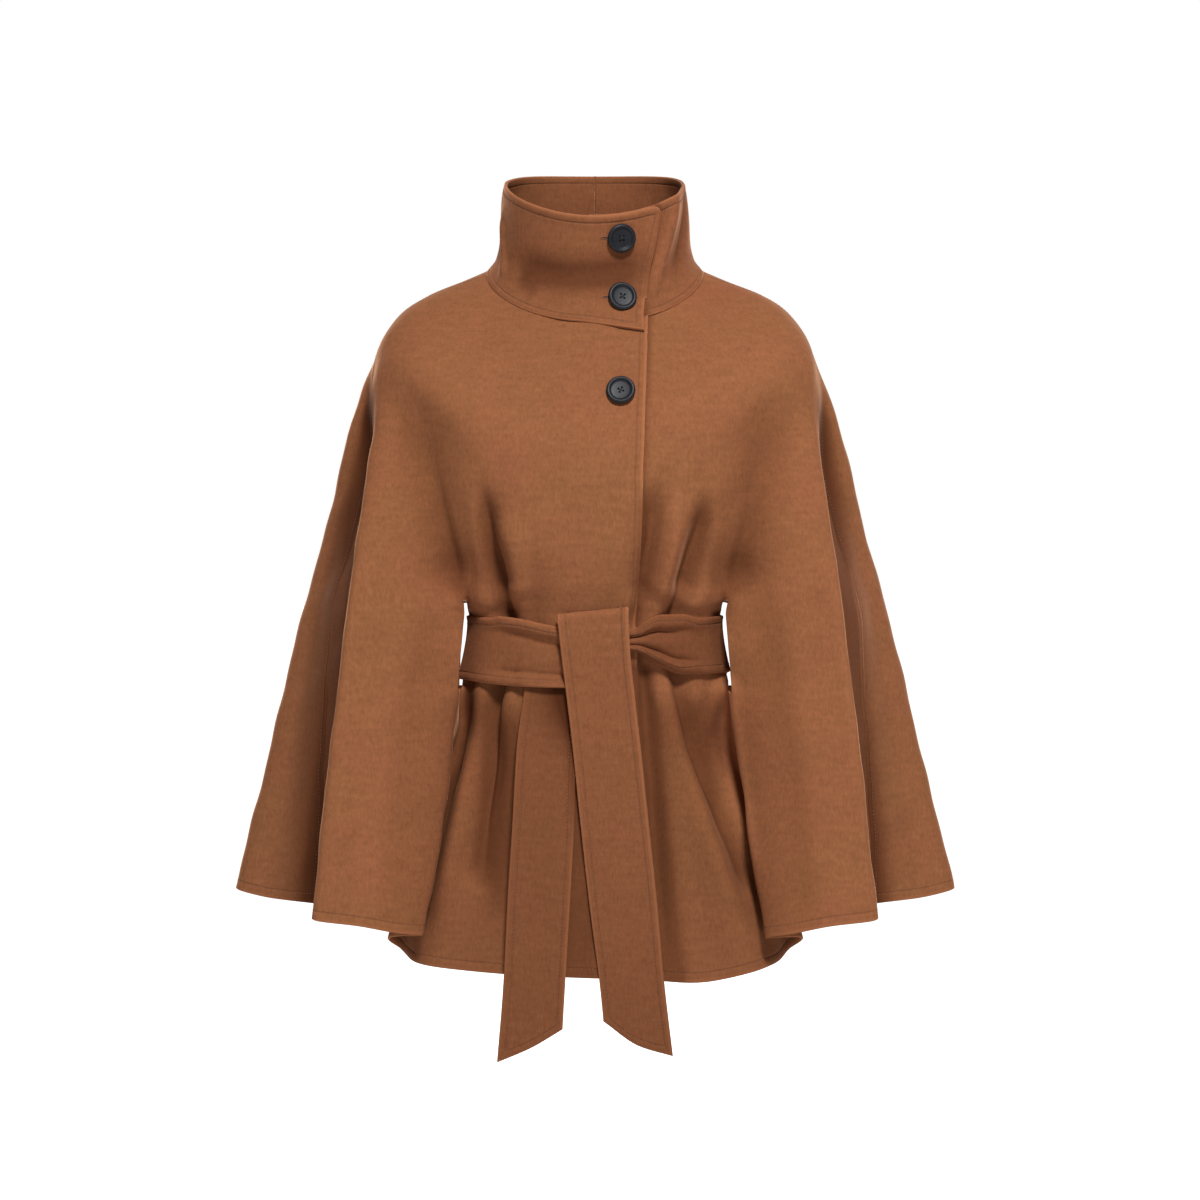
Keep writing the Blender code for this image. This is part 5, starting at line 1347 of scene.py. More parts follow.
# Ridges and creases over the band: x and share of its width at both ends.
Pleat = namedtuple("Pleat", "x_start share_start x_end share_end width height fade_in fade_out")
PLEATS = [Pleat(*row) for row in (
    (0.036, 0.20, 0.125, 0.09, 0.100, 0.0052, 0.012, 0.050),
    (0.036, 0.40, 0.098, 0.24, 0.045, -0.0030, 0.010, 0.045),
    (0.036, 0.56, 0.105, 0.46, 0.140, 0.0040, 0.012, 0.060),
    (0.036, 0.70, 0.112, 0.78, 0.045, -0.0030, 0.010, 0.040),
    (0.036, 0.84, 0.125, 0.91, 0.080, 0.0056, 0.012, 0.050),
    (-0.030, 0.11, -0.125, 0.08, 0.085, 0.0040, 0.020, 0.050),
    (-0.030, 0.30, -0.108, 0.21, 0.045, -0.0020, 0.015, 0.040),
    (-0.030, 0.52, -0.100, 0.50, 0.150, 0.0018, 0.020, 0.060),
    (-0.030, 0.97, -0.125, 0.93, 0.120, 0.0044, 0.030, 0.040),
    (-0.030, 0.78, -0.110, 0.80, 0.050, -0.0026, 0.020, 0.040),
    (0.004, 1.00, -0.078, 1.00, 0.330, 0.0036, 0.010, 0.012),
)]


def at_height(column, z):
    return np.stack([np.interp(-z, -column[:, 2], column[:, k]) for k in range(3)], axis=-1)


def band_edges(x, y):
    """Top and low edge of the band: the table's at the front, level behind."""
    front = through([e.x for e in BAND], [(e.top, e.low) for e in BAND], x)[0]
    share = float(ease(y, BAND_TURN_FRONT, BAND_TURN_BACK))
    return front * (1 - share) + np.array((BAND_BACK.top, BAND_BACK.low)) * share


print("band", round(BAND[0].top - BAND[0].low, 3), "m wide,", len(PLEATS), "pleats")

# %% Columns of the band
band_drops = np.linspace(FREE_TOP, FREE_LOW, BAND_CLOTH_ROWS)
band_rings = np.stack([full_ring(drop) for drop in band_drops])
band_out = cloth_normals(band_rings, band_drops)


def band_column(column):
    """One column of the band where it lies on the cloth."""
    base = band_rings[:, column + LAST]
    on_overlap = (float(ease(base[0, 0], *OVERLAP_STARTS))
                  * (1 - float(ease(base[0, 0], OVERLAP_END_IN, OVERLAP_END_OUT))))
    lift = (CLOTH + LAYER_GAP) / 2 * on_overlap
    off = CLOTH / 2 + LAYER_GAP + BELT_CLOTH / 2
    return base + band_out[:, column + LAST] * (off + lift)


def band_side(start, end):
    """The bare stretch round one side, under the wing."""
    way_in, way_out = unit(start[0] - start[1]), unit(end[0] - end[1])
    a, b = start[0], end[0]
    down = np.linspace(0, 1, len(a)) ** BAND_HALF_BOW
    half = BAND_HALF_TOP + (BAND_HALF_LOW - BAND_HALF_TOP) * down
    hold = (8 * half - 4 * (abs(a[..., 0]) + abs(b[..., 0]))) / 3
    hold = (hold / (np.abs(way_in[..., 0]) + np.abs(way_out[..., 0])))[:, None]
    columns = []
    for k in range(1, BAND_SIDE_COLUMNS + 1):
        t = k / (BAND_SIDE_COLUMNS + 1)
        columns.append((1 - t) ** 3 * a + 3 * t * (1 - t) ** 2 * (a + way_in * hold)
                       + 3 * t * t * (1 - t) * (b + way_out * hold) + t ** 3 * b)
    return columns


B_PANEL_AT = COLUMN["b_panel"]
front_run = [band_column(c) for c in range(-FOLD_AT, FOLD_AT + 1)]
back_run = [band_column(c) for c in
            list(range(B_PANEL_AT, LAST)) + list(range(-LAST, -B_PANEL_AT + 1))]
left_run = band_side((front_run[-1], front_run[-2]), (back_run[0], back_run[1]))
right_run = band_side((back_run[-1], back_run[-2]), (front_run[0], front_run[1]))
band_columns = front_run + left_run + back_run + right_run
print(len(band_columns), "strips round the band")

# %% The band
share = np.linspace(0.0, 1.0, BAND_ROWS + 1)
band_grid = np.zeros((BAND_ROWS + 1, len(band_columns), 3))
for c, column in enumerate(band_columns):
    top, low = band_edges(column[-1, 0], column[-1, 1])
    clear = BAND_CLEAR * float(ease(abs(column[0, 0]), BAND_CLEAR_FROM, BAND_CLEAR_TO))
    top = min(top, column[0, 2] - clear)
    band_grid[:, c] = at_height(column, top + (low - top) * share)
looped = np.concatenate([band_grid[:, -1:], band_grid, band_grid[:, :1]], axis=1)
band_normal = normals_of(looped)[:, 1:-1]
band_x, on_front = band_grid[..., 0], band_grid[..., 1] < 0
pleat_height = np.zeros(band_x.shape)
for ridge in PLEATS:
    run = (band_x - ridge.x_start) / (ridge.x_end - ridge.x_start)
    centre = ridge.share_start + (ridge.share_end - ridge.share_start) * run
    length = abs(ridge.x_end - ridge.x_start)
    shown = (ease(run, -ridge.fade_in / length, 0.0)
             * (1 - ease(run, 1 - ridge.fade_out / length, 1.0)) * on_front)
    pleat_height += ridge.height * shown * np.exp(-((share[:, None] - centre) / ridge.width) ** 2)
lifted = band_grid + band_normal * np.maximum(pleat_height, PLEAT_DEEPEST)[..., None]
# painted shade: over all the band, in the pleats' troughs and left of the knot
band_hollow = (BAND_SHADE + np.clip(-pleat_height / PLEAT_SHADED, 0.0, 1.0)
               + LEFT_SHADE * ease(band_x, *LEFT_FROM) * on_front)
looped = np.concatenate([lifted[:, -1:], lifted, lifted[:, :1]], axis=1)
band_normal = normals_of(looped)[:, 1:-1]
keep_piece("belt_band_cloth", lifted, band_normal, BELT_CLOTH, belt_wool, closed=True,
           border=border_of(lifted, ((0, False, BELT_ROW), (0, True, BELT_ROW))),
           hollow=band_hollow)
band_round = float(np.linalg.norm(np.diff(looped[BAND_ROWS // 2], axis=0), axis=-1).sum())
print("band is", round(band_round, 3), "m round")

# %% Tail sizes
TailRow = namedtuple("TailRow", "z left right off")
FRONT_TAIL = [TailRow(*row) for row in (
    (-0.3340, -0.0362, 0.0325, 0.0080), (-0.3700, -0.0320, 0.0345, 0.0095),
    (-0.4100, -0.0270, 0.0388, 0.0085), (-0.4550, -0.0215, 0.0440, 0.0068),
    (-0.5300, -0.0136, 0.0520, 0.0050), (-0.6000, -0.0058, 0.0595, 0.0036),
    (-0.6800, 0.0045, 0.0668, 0.0041), (-0.7600, 0.0120, 0.0763, 0.0040),
)]
REAR_TAIL = [TailRow(*row) for row in (
    (-0.3900, -0.0665, -0.0060, 0.0004), (-0.4100, -0.0695, -0.0100, 0.0012),
    (-0.4550, -0.0755, -0.0175, 0.0022),
    (-0.5300, -0.0798, -0.0200, 0.0022), (-0.6000, -0.0842, -0.0238, 0.0022),
    (-0.6800, -0.0880, -0.0285, 0.0022), (-0.7600, -0.0945, -0.0330, 0.0026),
)]
FRONT_TAIL_TOP, FRONT_TAIL_END = (-0.3345, -0.3310, -0.3275), (-0.7185, -0.7425, -0.7525)
REAR_TAIL_TOP, REAR_TAIL_END = (-0.3920, -0.3925, -0.3915), (-0.7590, -0.7455, -0.7268)
TAIL_COLUMNS, TAIL_ROWS, TAIL_READINGS = 18, 96, 160
TAIL_REACH_X, TAIL_REACH_Z, TAIL_PAST_HEM = 0.006, 0.008, 0.012
TAIL_SMOOTHING = 60
TUCK_READ_Z, TUCK_OFF, TUCK_FROM, TUCK_TO = -0.392, 0.0004, 0.396, 0.480
HOOK_RADIUS, HOOK_TURN, HOOK_STEPS = 0.0055, math.pi * 0.5, 12
TAIL_SHADE_AT = (0.0, 0.2, 1.0)            # shares of a tail's length, and the shade painted at each
TAIL_SHADE = {"belt_tail_front_cloth": (0.00, 0.26, 0.58), "belt_tail_rear_cloth": (0.66, 0.62, 0.54)}
# painted shadow under the knot on the rear tail: its middle, its width and the heights it fades over
UNDER_KNOT_X, UNDER_KNOT_WIDE, UNDER_KNOT_Z = -0.030, 0.020, (0.392, 0.480)
UNDER_TAIL_SHADE, UNDER_TAIL_WIDE = 0.60, 0.0070    # painted shadow on the rear tail, beside the front one
cloth_before = cloth[:, LAST - FOLD_AT:LAST + FOLD_AT + 1][DROPS > 0.36].reshape(-1, 3)
hem_low = float(cloth_before[:, 2].min())


def cloth_front(z, left, right):
    """How far forward the cloth reaches behind a tail."""
    z = max(z, hem_low + TAIL_PAST_HEM)
    near = ((np.abs(cloth_before[:, 2] - z) < TAIL_REACH_Z)
            & (cloth_before[:, 0] > left - TAIL_REACH_X) & (cloth_before[:, 0] < right + TAIL_REACH_X))
    return float(cloth_before[near, 1].min()) - CLOTH


print("tails end", FRONT_TAIL_END[2], "and", REAR_TAIL_END[0])

# %% The tails
def tail_grid(table, tops, ends):
    across = np.linspace(0.0, 1.0, TAIL_COLUMNS + 1)
    knots = [-row.z for row in table]
    top = through((0.0, 0.5, 1.0), tops, across)
    end = through((0.0, 0.5, 1.0), ends, across)
    heights = np.linspace(max(tops), min(ends), TAIL_READINGS)
    sides = through(knots, [row[1:] for row in table], -heights)
    depth = [cloth_front(z, left, right) - off for z, (left, right, off) in zip(heights, sides)]
    rows = []
    for down in np.linspace(0.0, 1.0, TAIL_ROWS + 1):
        z = top + (end - top) * down
        left, right, _ = through(knots, [row[1:] for row in table], -z).T
        y = np.interp(-z, -heights, depth)
        rows.append(np.stack([left + (right - left) * across, y, z], axis=-1))
    grid = np.array(rows)
    if table is REAR_TAIL:
        # its top follows the cloth's curve, so that it goes up behind the band
        near = [cloth_front(TUCK_READ_Z, x - TAIL_REACH_X, x + TAIL_REACH_X) - TUCK_OFF
                for x in grid[0, :, 0]]
        near = np.polyval(np.polyfit(across, near, 2), across)
        tucked = 1 - ease(-grid[:, :, 2], TUCK_FROM, TUCK_TO)
        grid[:, :, 1] += (near - grid[:, :, 1]) * tucked
    for _ in range(TAIL_SMOOTHING):
        y = grid[:, :, 1]
        grid[1:-1, :, 1] = (y[:-2] + 2 * y[1:-1] + y[2:]) / 4
    return grid


def with_hook(grid):
    """The tail with its turn over the top of the knot."""
    turned = []
    for k in range(HOOK_STEPS, 0, -1):
        angle = HOOK_TURN * k / HOOK_STEPS
        turned.append(grid[0] + HOOK_RADIUS * np.array((0.0, 1 - math.cos(angle), math.sin(angle))))
    return np.concatenate([np.array(turned), grid])


for name, table, tops, ends in (
        ("belt_tail_front_cloth", FRONT_TAIL, FRONT_TAIL_TOP, FRONT_TAIL_END),
        ("belt_tail_rear_cloth", REAR_TAIL, REAR_TAIL_TOP, REAR_TAIL_END)):
    middle = tail_grid(table, tops, ends)
    if table is FRONT_TAIL:
        middle = with_hook(middle)
    border = border_of(middle, ((1, False, BELT_ROW), (1, True, BELT_ROW), (0, True, BELT_ROW)))
    down = np.linspace(0.0, 1.0, len(middle))
    # shade painted down the tail; on the rear tail also the shadows of the knot and the front tail
    shade = np.interp(down, TAIL_SHADE_AT, TAIL_SHADE[name])[:, None] * np.ones(middle.shape[1])
    if table is REAR_TAIL:
        under_knot = np.exp(-((middle[..., 0] - UNDER_KNOT_X) / UNDER_KNOT_WIDE) ** 2)
        shade = shade + under_knot * (1 - ease(-middle[..., 2], *UNDER_KNOT_Z))
        over_edge = np.interp(-middle[..., 2], [-row.z for row in FRONT_TAIL],
                              [row.left for row in FRONT_TAIL])
        from_over = np.abs(middle[..., 0] - over_edge) / UNDER_TAIL_WIDE
        shade = shade + UNDER_TAIL_SHADE * np.exp(-from_over ** 2)
    keep_piece(name, middle, normals_of(middle), BELT_CLOTH, belt_wool, border=border, hollow=shade)
    print(name, [round(v, 3) for v in cuts[name]])

# %% [markdown]
# ## Topstitching
# A sewing machine lays one short stitch after another along a line at a set distance from the
# edge. So the line is found on the cloth first, and a Geometry Nodes tree then walks along it
# and lays a stitch at each step. All rows of one cloth are one mesh.

# %% The stitch tree
GEOMETRY, UNEVEN_LOW, UNEVEN_HIGH = "NodeSocketGeometry", 0.43, 0.52     # half a stitch, unevenly
stitching, row_in, row_out = start_group(
    "stitch_row", {"Geometry": GEOMETRY, "Pitch": FLOAT, "Stitch length": FLOAT,
                   "Thread radius": FLOAT, "Seed": "NodeSocketInt", "Thread": "NodeSocketMaterial"},
    {"Geometry": GEOMETRY}, "GeometryNodeTree")
given = row_in.outputs
line = add_node(stitching, "GeometryNodeMeshToCurve", {"Mesh": given["Geometry"]})
walk = add_node(stitching, "GeometryNodeResampleCurve",
                {"Curve": line.outputs["Curve"], "Length": given["Pitch"]}, mode="LENGTH")
one_stitch = add_node(stitching, "GeometryNodeMeshIcoSphere", {"Subdivisions": 1, "Radius": 1.0})
tangent = add_node(stitching, "GeometryNodeInputTangent")
turn_to = add_node(stitching, "FunctionNodeAlignRotationToVector",
                   {"Vector": tangent.outputs["Tangent"]}, axis="Z")
uneven = add_node(stitching, "FunctionNodeRandomValue",
                  {2: UNEVEN_LOW, 3: UNEVEN_HIGH, "Seed": given["Seed"]}, data_type="FLOAT")
half_length = math_node(stitching, "MULTIPLY", uneven.outputs[1], given["Stitch length"])
sizes = add_node(stitching, "ShaderNodeCombineXYZ",
                 {"X": given["Thread radius"], "Y": given["Thread radius"], "Z": half_length})
lay = add_node(stitching, "GeometryNodeInstanceOnPoints",
               {"Points": walk.outputs["Curve"], "Instance": one_stitch.outputs["Mesh"],
                "Rotation": turn_to.outputs["Rotation"], "Scale": sizes.outputs["Vector"]})
real = add_node(stitching, "GeometryNodeRealizeInstances", {"Geometry": lay.outputs["Instances"]})
smooth = add_node(stitching, "GeometryNodeSetShadeSmooth", {"Geometry": real.outputs["Geometry"]})
dye = add_node(stitching, "GeometryNodeSetMaterial",
               {"Geometry": smooth.outputs["Geometry"], "Material": given["Thread"]})
feed(row_out, {"Geometry": dye.outputs["Geometry"]})
print("stitch_row:", len(stitching.nodes), "nodes")

# %% Apply a tree to lines
def lines_object(name, lines):
    """A mesh of bare edges along lines of points."""
    points, edges = [], []
    for line in lines:
        first = len(points)
        points += [tuple(map(float, p)) for p in line]
        edges += [(first + k, first + k + 1) for k in range(len(line) - 1)]
    mesh = bpy.data.meshes.new(name)
    mesh.from_pydata(points, edges, [])
    return placed(name, mesh)


def grown(name, lines, tree, values):
    """The mesh that a tree makes from lines, as a plain object."""
    source = lines_object(name, lines)
    modifier = source.modifiers.new("grow", "NODES")
    modifier.node_group = tree
    for item in tree.interface.items_tree:
        if item.in_out == "INPUT" and item.name in values:
            modifier[item.identifier] = values[item.name]
    ready = source.evaluated_get(bpy.context.evaluated_depsgraph_get())
    mesh = bpy.data.meshes.new_from_object(ready)
    source.modifiers.remove(modifier)
    old, source.data = source.data, mesh
    bpy.data.meshes.remove(old)
    mesh.name = name
    print(name, len(mesh.polygons), "faces")
    return source


print("trees become plain meshes")

# %% Thread
def plain_finish(name, colour, roughness, sheen=0.0):
    made, tree, shader = new_finish(name)
    grain = noise_of(tree, object_place(tree), 900.0)
    feed(shader, {"Base Color": mixed(tree, grain, tint(colour, 0.80), tint(colour, 1.20)),
                  "Roughness": roughness, "Sheen Weight": sheen})
    return made


camel_thread = plain_finish("camel_thread", (0.285, 0.110, 0.050), 0.75, 0.2)
dark_thread = plain_finish("dark_thread", (0.016, 0.014, 0.015), 0.6)
print("two threads")

# %% Rows of topstitching
Stitch = namedtuple("Stitch", "pitch length radius seed")
TOPSTITCH = Stitch(0.0036, 0.0030, 0.00030, 3)
SUNK, NEARLY = 0.00008, 0.98      # stitches lie this deep in the cloth; what counts as near enough


def row_on(name, axis, backwards, distance, others=()):
    """A row of stitches on a piece's face, at a distance from one edge. It stops where another
    sewn edge is nearer. others lists (axis, backwards, distance)."""
    face, out = surfaces[name]
    line = line_at(face - out * SUNK, way_along(face, axis, backwards), axis, distance)
    for other_axis, other_backwards, clear in others:
        way = way_along(face, other_axis, other_backwards)
        edge, rim = (line_at(face, way, other_axis, at) for at in (clear, 0.0))
        near = [int(np.linalg.norm(edge - point, axis=-1).argmin()) for point in line]
        line = line[np.linalg.norm(line - rim[near], axis=-1) > clear * NEARLY]
    return line


def stitched(name, lines, stitch):
    """A piece of thread: stitches of one kind along lines."""
    pieces[name] = grown(name, lines, stitching,
                         {"Pitch": stitch.pitch, "Stitch length": stitch.length,
                          "Thread radius": stitch.radius, "Seed": stitch.seed,
                          "Thread": camel_thread})


OVER, UNDER, BACK = "right_front_cloth", "left_front_cloth", "back_cloth"
AT_HEM = ((0, True, HEM_ROW),)
stitched("body_topstitch", [
    row_on(OVER, 1, True, EDGE_ROW, AT_HEM), row_on(OVER, 0, True, HEM_ROW, ((1, True, EDGE_ROW),)),
    row_on(UNDER, 1, False, EDGE_ROW, AT_HEM),
    row_on(UNDER, 0, True, HEM_ROW, ((1, False, EDGE_ROW),)),
    row_on(BACK, 0, True, HEM_ROW), row_on(BACK, 1, False, SEAM_ROW, AT_HEM),
    row_on(BACK, 1, True, SEAM_ROW, AT_HEM),
], TOPSTITCH)

# %% Topstitching on collar and belt
C_OVER, C_UNDER = "collar_right_cloth", "collar_left_cloth"
AT_FRONT_EDGE = ((1, True, CLOSE_ROW),)
stitched("collar_topstitch", [
    row_on(C_OVER, 0, False, RIM_ROW, AT_FRONT_EDGE),
    row_on(C_OVER, 1, True, CLOSE_ROW, ((0, False, RIM_ROW), (0, True, NECK_ROW))),
    row_on(C_OVER, 0, True, NECK_ROW, AT_FRONT_EDGE),
    row_on(C_UNDER, 0, False, RIM_ROW), row_on(C_UNDER, 0, True, NECK_ROW),
], TOPSTITCH)
ring_rows = [row_on("belt_band_cloth", 0, backwards, BELT_ROW) for backwards in (False, True)]
belt_rows = [np.vstack([row, row[:1]]) for row in ring_rows]
AT_END, AT_SIDES = ((0, True, BELT_ROW),), ((1, False, BELT_ROW), (1, True, BELT_ROW))
for tail in ("belt_tail_front_cloth", "belt_tail_rear_cloth"):
    belt_rows += [row_on(tail, 1, False, BELT_ROW, AT_END), row_on(tail, 1, True, BELT_ROW, AT_END),
                  row_on(tail, 0, True, BELT_ROW, AT_SIDES)]
stitched("belt_topstitch", belt_rows, TOPSTITCH)

# %% [markdown]
# ## Buttonholes and bar tacks
# A buttonhole is a cut with its raw edge bound in close stitches. Only its end shows beside the
# button. At the top of each slit a short bar of thread stops the cloth from tearing.

# %% A place on a cloth face
def face_frame(name, x, z):
    """Point, outward, across and along directions on a piece's face, seen from the front."""
    face, out = surfaces[name]
    away = (face[..., 0] - x) ** 2 + (face[..., 2] - z) ** 2 + (face[..., 1] > 0)
    r, c = np.unravel_index(np.argmin(away), away.shape)
    base, normal = face[r, c], out[r, c]
    y = base[1] - (normal[0] * (x - base[0]) + normal[2] * (z - base[2])) / normal[1]
    across = unit(np.cross((0.0, 0.0, 1.0), normal))
    return np.array((x, y, z)), normal, across, np.cross(normal, across)


BUTTONS = (("button_1", C_OVER, 0.0254, 0.0358), ("button_2", C_OVER, 0.0264, -0.0215),
           ("button_3", OVER, 0.0252, -0.1122))
HOLE_REACH, HOLE_HIGH = 0.0195, 0.0007     # from the button's middle to the hole's end; half height
print(len(BUTTONS), "buttonholes")

# %% Purl stitches
def oval_round(place, across, along, half_long, half_high, steps=72):
    turns = np.linspace(0.0, 2 * math.pi, steps + 1)
    return np.array([place + across * half_long * math.cos(t) + along * half_high * math.sin(t)
                     for t in turns])


PURL = Stitch(0.0009, 0.0011, 0.00028, 5)
PURL_OFF, PURL_GROWS, CUT_BELOW, CUT_STEPS = 0.0001, (0.0002, 0.0006), 0.00002, 40
purl_lines, slots = [], []
for _, cloth_name, x, z in BUTTONS:
    place, normal, across, along = face_frame(cloth_name, x - HOLE_REACH / 2, z)
    across = across if across[0] > 0 else -across
    seat = place + normal * PURL_OFF
    purl_lines += [oval_round(seat, across, along, HOLE_REACH / 2 + grow, HOLE_HIGH + grow)
                   for grow in PURL_GROWS]
    slots.append(oval_round(seat - normal * CUT_BELOW, across, along, HOLE_REACH / 2, HOLE_HIGH,
                            CUT_STEPS)[:-1])
stitched("buttonhole_purl", purl_lines, PURL)

# %% The dark of the cuts
# A dark sheet just inside each cut is the slot's painted shadow.
slot_mesh = bpy.data.meshes.new("buttonhole_cuts")
slot_mesh.from_pydata(np.concatenate(slots).tolist(), [],
                      [tuple(range(k * CUT_STEPS, (k + 1) * CUT_STEPS)) for k in range(len(slots))])
slot_mesh.materials.append(plain_finish("cut_shadow", (0.030, 0.014, 0.009), 1.0))
for poly in slot_mesh.polygons:
    if poly.normal.y > 0:
        poly.flip()
pieces["buttonhole_cuts"] = placed("buttonhole_cuts", slot_mesh)
print(len(slots), "cuts")

# %% Bar tacks
TACK = Stitch(0.0006, 0.0012, 0.00026, 7)
TACK_REACH, TACK_HALF_HIGH, TACK_RISE, TACK_OFF, TACK_POINTS = 0.0085, 0.0007, 0.0022, 0.0002, 60
slit_row = int(np.argmin(np.abs(DROPS - SLIT_TOP)))
tack_lines = []
for name, first, sign in ((OVER, -SEAM, -1), (UNDER, 0, 1), (BACK, None, 1), (BACK, None, -1)):
    face, out = surfaces[name]
    if name == BACK:
        middle_at = CENTRE + sign * (LAST - (COLUMN["b_inner"] + COLUMN["b_panel"]) // 2)
    else:
        middle_at = sign * (FOLD_AT + INNER_AT) // 2 - first
    row = face[slit_row] + out[slit_row] * TACK_OFF
    way = np.concatenate([[0.0], np.cumsum(np.linalg.norm(np.diff(row, axis=0), axis=1))])
    at = np.linspace(way[middle_at] - TACK_REACH, way[middle_at] + TACK_REACH, TACK_POINTS)
    tack = np.stack([np.interp(at, way, row[:, k]) for k in range(3)], axis=1)
    tack[:, 2] += TACK_RISE + TACK_HALF_HIGH * (-1.0) ** np.arange(TACK_POINTS)
    tack_lines.append(tack)
stitched("slit_tacks", tack_lines, TACK)

# %% [markdown]
# ## Buttons
# Coat buttons of dark horn are turned on a lathe: a rounded rim, a step down to a shallow dish,
# and four holes drilled through. Each is sewn on with dark thread, crossed between the holes.

# %% Turned blank
BUTTON_RADIUS, BUTTON_HIGH, BUTTON_STEM = 0.0142, 0.0046, 0.0008
TURNS, HOLE_RADIUS, HOLE_AT = 64, 0.00105, 0.0026
BUTTON_PROFILE = (
    (0.0, 0.0), (0.80, 0.0), (0.90, 0.06), (0.97, 0.20), (1.0, 0.42), (0.995, 0.62), (0.965, 0.82),
    (0.915, 0.95), (0.86, 1.0), (0.80, 0.985), (0.755, 0.92), (0.725, 0.80), (0.70, 0.68),
    (0.655, 0.60), (0.58, 0.575), (0.45, 0.55), (0.25, 0.535), (0.0, 0.53),
)


def turned_button(work):
    rings = [[work.verts.new((0.0, 0.0, BUTTON_PROFILE[0][1]))]]
    angles = [2 * math.pi * k / TURNS for k in range(TURNS)]
    for reach, rise in BUTTON_PROFILE[1:-1]:
        rings.append([work.verts.new((reach * BUTTON_RADIUS * math.cos(angle),
                                      reach * BUTTON_RADIUS * math.sin(angle), rise * BUTTON_HIGH))
                      for angle in angles])
    rings.append([work.verts.new((0.0, 0.0, BUTTON_PROFILE[-1][1] * BUTTON_HIGH))])
    for k in range(TURNS):
        after = (k + 1) % TURNS
        work.faces.new((rings[0][0], rings[1][after], rings[1][k]))
        for low, high in zip(rings[1:-2], rings[2:-1]):
            work.faces.new((low[k], low[after], high[after], high[k]))
        work.faces.new((rings[-1][0], rings[-2][k], rings[-2][after]))


print("button", BUTTON_RADIUS * 2000, "mm across")

# %% Horn
horn, horn_tree, horn_shader = new_finish("dark_horn")
horn_place = object_place(horn_tree)
cloudy = noise_of(horn_tree, stretched(horn_tree, horn_place, (1.0, 1.0, 2.4)), 160.0, 4.0)
scuffed = noise_of(horn_tree, horn_place, 700.0, 3.0)
feed(horn_shader, {"Base Color": mixed(horn_tree, cloudy, (0.009, 0.010, 0.013, 1.0),
                                       (0.026, 0.027, 0.034, 1.0)),
                   "Specular IOR Level": 0.30, "Roughness": ranged(horn_tree, scuffed, 0.36, 0.54)})
print("horn ready")

# %% Drill the button
hole_angles = [math.pi * (k + 0.5) / 2 for k in range(4)]
drill_holes = [(HOLE_AT * math.cos(angle), HOLE_AT * math.sin(angle)) for angle in hole_angles]


def drill_through(blank, x, y):
    """Cut one hole through the blank."""
    def cylinder(work):
        bmesh.ops.create_cone(work, cap_ends=True, segments=20, radius1=HOLE_RADIUS,
                              radius2=HOLE_RADIUS, depth=0.02)
        bmesh.ops.translate(work, verts=work.verts, vec=(x, y, 0.0))

    drill = placed("drill", bmesh_into("drill", cylinder))
    bore = blank.modifiers.new("bore", "BOOLEAN")
    bore.object, bore.operation, bore.solver = drill, "DIFFERENCE", "EXACT"
    ready = blank.evaluated_get(bpy.context.evaluated_depsgraph_get())
    bored = bpy.data.meshes.new_from_object(ready)
    blank.modifiers.remove(bore)
    blank.data = bored
    bpy.data.objects.remove(drill, do_unlink=True)


blank = placed("button_blank", bmesh_into("button_blank", turned_button))
for x, y in drill_holes:
    drill_through(blank, x, y)
print("drilled button:", len(blank.data.polygons), "faces")

# %% Thread through a button
STRAND_RADIUS, STRAND_LIFT, STRAND_APART, STRAND_SINKS = 0.00032, 0.0010, 0.0003, 0.0004


def thread_strand(work, start, end, steps=8, sides=6):
    """A strand of thread that rises out of one hole and goes down the next."""
    start, end = np.asarray(start), np.asarray(end)
    way = unit(end - start)
    side, up = np.array((-way[1], way[0], 0.0)), np.array((0.0, 0.0, 1.0))
    angles = [2 * math.pi * s / sides for s in range(sides)]
    rings = []
    for t in np.linspace(0.0, 1.0, steps + 1):
        at = start + (end - start) * t + up * STRAND_LIFT * math.sin(math.pi * t) ** 0.6
        ways = [side * math.cos(angle) + up * math.sin(angle) for angle in angles]
        rings.append([work.verts.new(at + STRAND_RADIUS * way_out) for way_out in ways])
    for low, high in zip(rings, rings[1:]):
        for s in range(sides):
            after = (s + 1) % sides
            work.faces.new((low[s], low[after], high[after], high[s]))
    work.faces.new(rings[0][::-1])
    work.faces.new(rings[-1])


def crossed_thread(work):
    dish = BUTTON_PROFILE[-1][1] * BUTTON_HIGH
    for pair in ((0, 2), (1, 3)):
        for shift in (-STRAND_APART, STRAND_APART):
            holes = [drill_holes[k] for k in pair]
            thread_strand(work, *((x - shift * math.copysign(1, y), y + shift * math.copysign(1, x),
                                   dish - STRAND_SINKS) for x, y in holes))


thread_mesh = bmesh_into("button_thread", crossed_thread)
print("button thread:", len(thread_mesh.polygons), "faces")

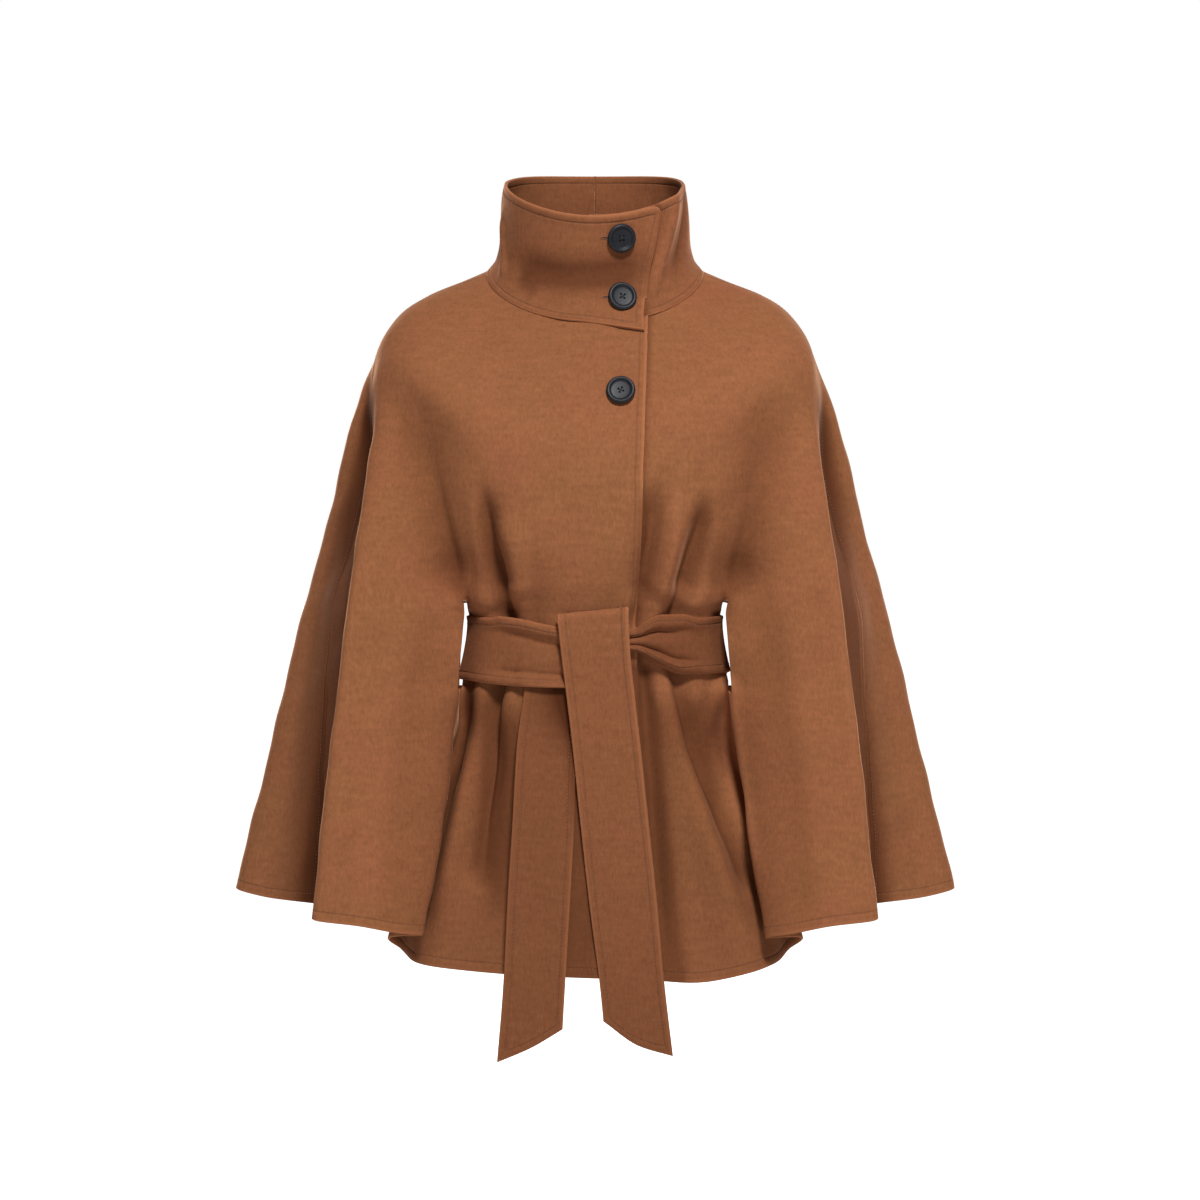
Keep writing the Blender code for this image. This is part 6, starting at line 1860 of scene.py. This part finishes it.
# %% Set the buttons on the cloth
BUTTON_TURNS, SHARP_FROM = (0.10, -0.16, 0.34), 40      # radians of each button, degrees of an edge
for (node, cloth_name, x, z), turn in zip(BUTTONS, BUTTON_TURNS):
    place, normal, across, along = face_frame(cloth_name, x, z)
    across, along = (across * math.cos(turn) + along * math.sin(turn),
                     along * math.cos(turn) - across * math.sin(turn))
    basis, seat = np.stack([across, along, normal], axis=1), place + normal * BUTTON_STEM
    for kind, source, finish in (("horn", blank.data, horn), ("thread", thread_mesh, dark_thread)):
        mesh = source.copy()
        flat = np.array([v.co for v in mesh.vertices])
        mesh.vertices.foreach_set("co", (flat @ basis.T + seat).ravel())
        mesh.materials.clear()
        mesh.materials.append(finish)
        mesh.shade_smooth()
        if kind == "horn":
            mesh.set_sharp_from_angle(angle=math.radians(SHARP_FROM))
        pieces[node + "_" + kind] = placed(node + "_" + kind, mesh)
bpy.data.objects.remove(blank, do_unlink=True)
print("buttons sewn on")

# %% [markdown]
# ## Riding and sizes
# Each piece takes its solid's place and rides on the cape's one body. The size that each piece
# of cloth was cut to is listed with the size measured on it.

# %% Hide the solids and attach the pieces
STANDS_FOR = {
    "right_front_cloth": ("front_right", "camel_wool"), "left_front_cloth": ("front_left", "camel_wool"),
    "back_cloth": ("back", "camel_wool"), "collar_right_cloth": ("collar_right", "camel_wool_collar"),
    "collar_left_cloth": ("collar_left", "camel_wool_collar"),
    "belt_band_cloth": ("belt_band", "camel_wool_belt"),
    "belt_tail_front_cloth": ("belt_tail_front", "camel_wool_belt"),
    "belt_tail_rear_cloth": ("belt_tail_rear", "camel_wool_belt"),
    "button_1_horn": ("button_1", "dark_horn"), "button_2_horn": ("button_2", "dark_horn"),
    "button_3_horn": ("button_3", "dark_horn"),
}
for name, (node, slot) in STANDS_FOR.items():
    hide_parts(node)
for piece in pieces.values():
    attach(piece, "root")

# %% Cloth cuts
# Width and length of the rectangle that each piece was cut from, and the cut's own area.
Cut = namedtuple("Cut", "width length area held rests_on with_pieces")
CUTS = {
    "right_front_cloth": Cut(0.545, 0.755, 0.260, "draped", ["left_front_cloth"],
                             ["buttonhole_purl", "buttonhole_cuts"]),
    "left_front_cloth": Cut(0.510, 0.755, 0.233, "draped", [], ["slit_tacks"]),
    "back_cloth": Cut(1.250, 0.750, 0.582, "draped", [], ["body_topstitch"]),
    "collar_right_cloth": Cut(0.357, 0.118, 0.033, "draped", ["collar_left_cloth"],
                              ["collar_topstitch"]),
    "collar_left_cloth": Cut(0.311, 0.108, 0.027, "draped", [], []),
    "belt_band_cloth": Cut(0.820, 0.068, 0.054, "stretched", ["right_front_cloth", "back_cloth"],
                           ["belt_topstitch"]),
    "belt_tail_front_cloth": Cut(0.076, 0.438, 0.028, "hung", ["belt_band_cloth"], []),
    "belt_tail_rear_cloth": Cut(0.071, 0.373, 0.022, "hung", ["right_front_cloth"], []),
}
for name, cut in CUTS.items():
    print("cut", name, cut.width, "x", cut.length, "m,", cut.area, "m2, measured", cuts[name])

# %% Done
print("all pieces made")
